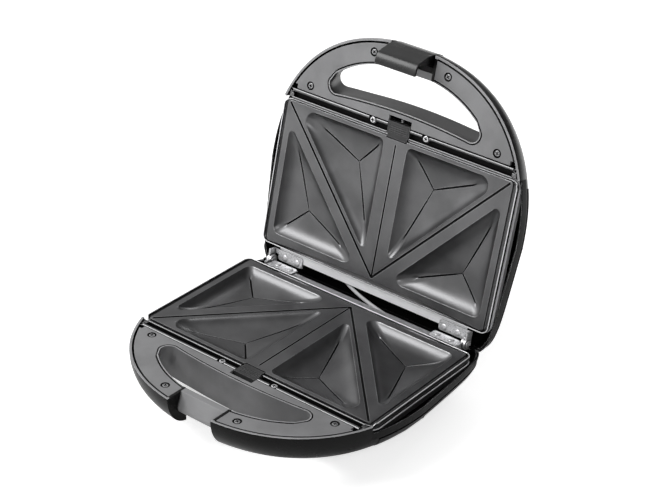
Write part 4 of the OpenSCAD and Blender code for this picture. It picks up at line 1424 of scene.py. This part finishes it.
def hinge_leaf(half):
    """Riveted plate whose arm carries an eyelet round the hinge pin."""
    ear = EAR_AT[half]
    axis = AXIS_W[half]
    plate = slab(rounded_plate(67, 91.2, 0.8, 9.4, 2.2), -2.2, -1.2)
    arm = block((88, 5.4, -2.2), (ear + EAR_T, 9.4, -1.2))
    web = block((ear, 0, min(axis - 2.8, -2.2)), (ear + EAR_T, 9.4, max(axis + 2.8, -1.2)))
    ring = turned_part([(0, 0), (4.6, 0), (4.6, EAR_T), (0, EAR_T)], sideways(ear, 0, axis), 40)
    body = carved(plate, [arm, web, ring], "UNION")
    bore = turned_part([(0, -1), (2.05, -1), (2.05, EAR_T + 1), (0, EAR_T + 1)], sideways(ear, 0, axis), 32)
    return softened(carved(body, [bore]), 0.22, 2, 30)


def rivet(x, v):
    """Domed rivet through a leaf, headed over on the inside."""
    return turned_part([(0, -3.6), (1.9, -3.6), (2.2, -3.4), (2.2, -3), (1.5, -3), (1.5, -1.2), (2.5, -1.2),
                        (2.5, -1.0), (2.32, -0.8), (1.9, -0.62), (1.2, -0.5), (0, -0.46)], upright(x, v), 32)


def hinge_pin():
    """Pin with two heads, the outer one dished in the middle."""
    return turned_part([(0, 0), (2.9, 0), (3.2, 0.25), (3.2, 0.9), (2, 0.9), (2, 4.9), (3.2, 4.9), (3.2, 5.5),
                        (2.95, 5.8), (2.2, 5.8), (1.75, 5.35), (1.3, 5.3), (0.9, 5.6), (0, 5.7)],
                       sideways(91.9, 0, -2.2), 40)


for half in ("base", "lid"):
    for hand in ("right", "left"):
        leaf = hinge_leaf(half)
        if hand == "left":
            flipped = mirrored(leaf)
            leaf.free()
            leaf = flipped
        piece(leaf, f"{half}_leaf_{hand}", half, half, [STEEL], [f"hinge_leaf_{half}_{hand}"],
              sharp=40)
    rivets = bmesh.new()
    merge(rivets, *[part for x, v in RIVETS for part in pair(rivet(x, v))])
    piece(rivets, f"{half}_leaf_rivets", half, half, [STEEL], [f"hinge_rivets_{half}"])
pins = bmesh.new()
merge(pins, *pair(hinge_pin()))
piece(pins, "hinge_pin_pair", "base", "base", [STEEL], ["hinge_pins"])


# ------------------------------------------------------------------ latch

# Sections of the clip as (v, w): its curved skin and the ribs inside it
LATCH_SKIN = [(200.6, -14), (202.1, -8), (202.6, 0.3), (201.8, 5.2), (199.6, 11.1), (197.5, 16.6), (195.2, 18.9),
              (192, 20), (188.1, 20.3), (188, 18.2), (191.6, 17.8), (194.1, 16.9), (195.5, 15.2), (197.3, 10.3),
              (199.4, 4.7), (200.1, 0.3), (199.7, -8), (198.2, -14)]
LATCH_RIB = [(200, -12), (201.6, 0), (200.4, 5), (197.9, 11), (196.3, 15.5), (194.9, 12), (194.2, 2), (192.6, -6),
             (194.5, -12)]


def latch():
    """Hooked clip: curved skin, ribs and the barrel round its pin."""
    skin = softened(prism(smooth_loop(LATCH_SKIN), -LATCH_HALF, LATCH_HALF), 0.45, 3, 50)
    ribs = [prism(LATCH_RIB, x - 0.7, x + 0.7) for x in (-9, 0, 9)]
    ribs += [prism(LATCH_RIB, s * 17.3 - 1.2, s * 17.3 + 1.2) for s in (-1, 1)]
    barrel = turned_part([(1.6, 0), (3.7, 0), (4, 0.3), (4, 36.7), (3.7, 37), (1.6, 37), (1.6, 0)],
                         sideways(-LATCH_HALF, *LATCH_AXIS))
    return merge(skin, *[softened(r, 0.15) for r in ribs], barrel)


piece(latch(), "latch_curl", "lid", "latch", [LATCH], ["latch"], recalc=False)


# ------------------------------------------------------------------ camera, light and floor

def seen_rays(tree):
    """One where a ray from the camera, a reflection or a clear part looks at the surroundings."""
    path = node_in(tree, "ShaderNodeLightPath")
    mirror = maths(tree, "MAXIMUM", path.outputs["Is Glossy Ray"], path.outputs["Is Transmission Ray"])
    return path.outputs["Is Camera Ray"], mirror


FLOOR_PALE = (0.86, 0.86, 0.86, 1)
FLOOR_PAINTED_SHADE = (0.02, 0.02, 0.02, 1)
FLOOR_GLOW = 0.68


def flat_floor():
    """Floor that the camera sees pale all over. Its colour is painted dark on the right, and reflections see it
    darker close by: painted shade.
    """
    bm = bmesh.new()
    bmesh.ops.create_grid(bm, x_segments=1, y_segments=1, size=6)
    mesh = bpy.data.meshes.new("floor")
    bm.to_mesh(mesh)
    bm.free()
    floor = bpy.data.objects.new("floor", mesh)
    scene.collection.objects.link(floor)
    material = bpy.data.materials.new("floor_white")
    material.use_nodes = True
    tree = material.node_tree
    shader = tree.nodes["Principled BSDF"]
    shader.inputs["Roughness"].default_value = 0.9
    shader.inputs["Specular IOR Level"].default_value = 0.1
    place = node_in(tree, "ShaderNodeTexCoord")
    side = node_in(tree, "ShaderNodeVectorMath", operation="DOT_PRODUCT")
    tree.links.new(place.outputs["Object"], side.inputs[0])
    side.inputs[1].default_value = (1, -0.1, 0)
    # The floor's colour is painted dark to the right, a painted shade for the shell's right side to reflect.
    painted_lit_side = ramp(tree, 0.78, 0.2, 0.12, 1.0)
    tree.links.new(side.outputs["Value"], painted_lit_side.inputs["Value"])
    tree.links.new(blend(tree, painted_lit_side.outputs[0], FLOOR_PAINTED_SHADE, FLOOR_PALE), shader.inputs["Base Color"])
    camera_ray, mirror = seen_rays(tree)
    far = maths(tree, "SUBTRACT", 1.0, painted_lit_side.outputs[0])
    out = node_in(tree, "ShaderNodeVectorMath", operation="LENGTH")
    tree.links.new(place.outputs["Object"], out.inputs[0])
    away = ramp(tree, 0.6, 1.8, 0.0, 0.4)
    tree.links.new(out.outputs["Value"], away.inputs["Value"])
    evened = maths(tree, "MAXIMUM", maths(tree, "MULTIPLY", far, 0.4), away.outputs[0])
    shown = maths(tree, "ADD", evened, FLOOR_GLOW)
    mirrored_floor = ramp(tree, 0.55, 0.05, 0.3, 1.0)
    tree.links.new(side.outputs["Value"], mirrored_floor.inputs["Value"])
    # Reflections see the floor darker close to the object: a painted shadow.
    near = ramp(tree, 0.36, 0.75, 0.06, 1.0)
    tree.links.new(out.outputs["Value"], near.inputs["Value"])
    mirrored_light = maths(tree, "MULTIPLY", mirrored_floor.outputs[0], near.outputs[0])
    glow = maths(tree, "MAXIMUM", maths(tree, "MULTIPLY", camera_ray, shown),
                 maths(tree, "MULTIPLY", mirror, mirrored_light))
    shader.inputs["Emission Color"].default_value = (1, 1, 1, 1)
    tree.links.new(glow, shader.inputs["Emission Strength"])
    mesh.materials.append(material)


def world_light():
    """White for the camera, and for reflections a room that is lighter to the left, in front and above."""
    world = bpy.data.worlds.new("studio")
    scene.world = world
    world.use_nodes = True
    tree = world.node_tree
    back = tree.nodes["Background"]
    place = node_in(tree, "ShaderNodeTexCoord")
    side = node_in(tree, "ShaderNodeVectorMath", operation="DOT_PRODUCT")
    tree.links.new(place.outputs["Generated"], side.inputs[0])
    side.inputs[1].default_value = (-0.75, -0.45, 0.45)
    room = ramp(tree, 0.0, 0.7, 0.15, 1.0)
    tree.links.new(side.outputs["Value"], room.inputs["Value"])
    camera_ray, mirror = seen_rays(tree)
    soft = maths(tree, "SUBTRACT", 1.0, maths(tree, "MAXIMUM", camera_ray, mirror))
    seen = maths(tree, "ADD", camera_ray, maths(tree, "MULTIPLY", mirror, room.outputs[0]))
    strength = maths(tree, "ADD", seen, maths(tree, "MULTIPLY", soft, 0.16))
    tree.links.new(strength, back.inputs["Strength"])
    back.inputs["Color"].default_value = (1, 1, 1, 1)


def softbox(name, place, aim, size, power):
    """Rectangular soft lamp that faces the place it aims at."""
    light = bpy.data.lights.new(name, "AREA")
    light.shape = "RECTANGLE"
    light.size, light.size_y = size
    light.energy = power
    obj = bpy.data.objects.new(name, light)
    obj.location = place
    obj.rotation_euler = (Vector(aim) - Vector(place)).to_track_quat("-Z", "Y").to_euler()
    scene.collection.objects.link(obj)


flat_floor()
world_light()
softbox("key_above_left", (-0.80, -0.70, 1.10), (0, 0, 0.08), (1.0, 0.8), 17)
softbox("fill_right", (0.55, -0.65, 0.55), (0.05, 0.05, 0.18), (0.3, 0.3), 2.2)
softbox("back_edge", (-0.1, 1.1, 0.9), (0, 0.05, 0.1), (0.9, 0.35), 5)

eye = bpy.data.cameras.new("view")
eye.sensor_width = 36
eye.lens = 98.05
camera = bpy.data.objects.new("view", eye)
camera.location = (0.71145, -0.90804, 0.77366)
camera.rotation_euler = (math.radians(60.366), math.radians(-1.916), math.radians(38.416))
scene.collection.objects.link(camera)
scene.camera = camera
scene.view_settings.view_transform = "Standard"
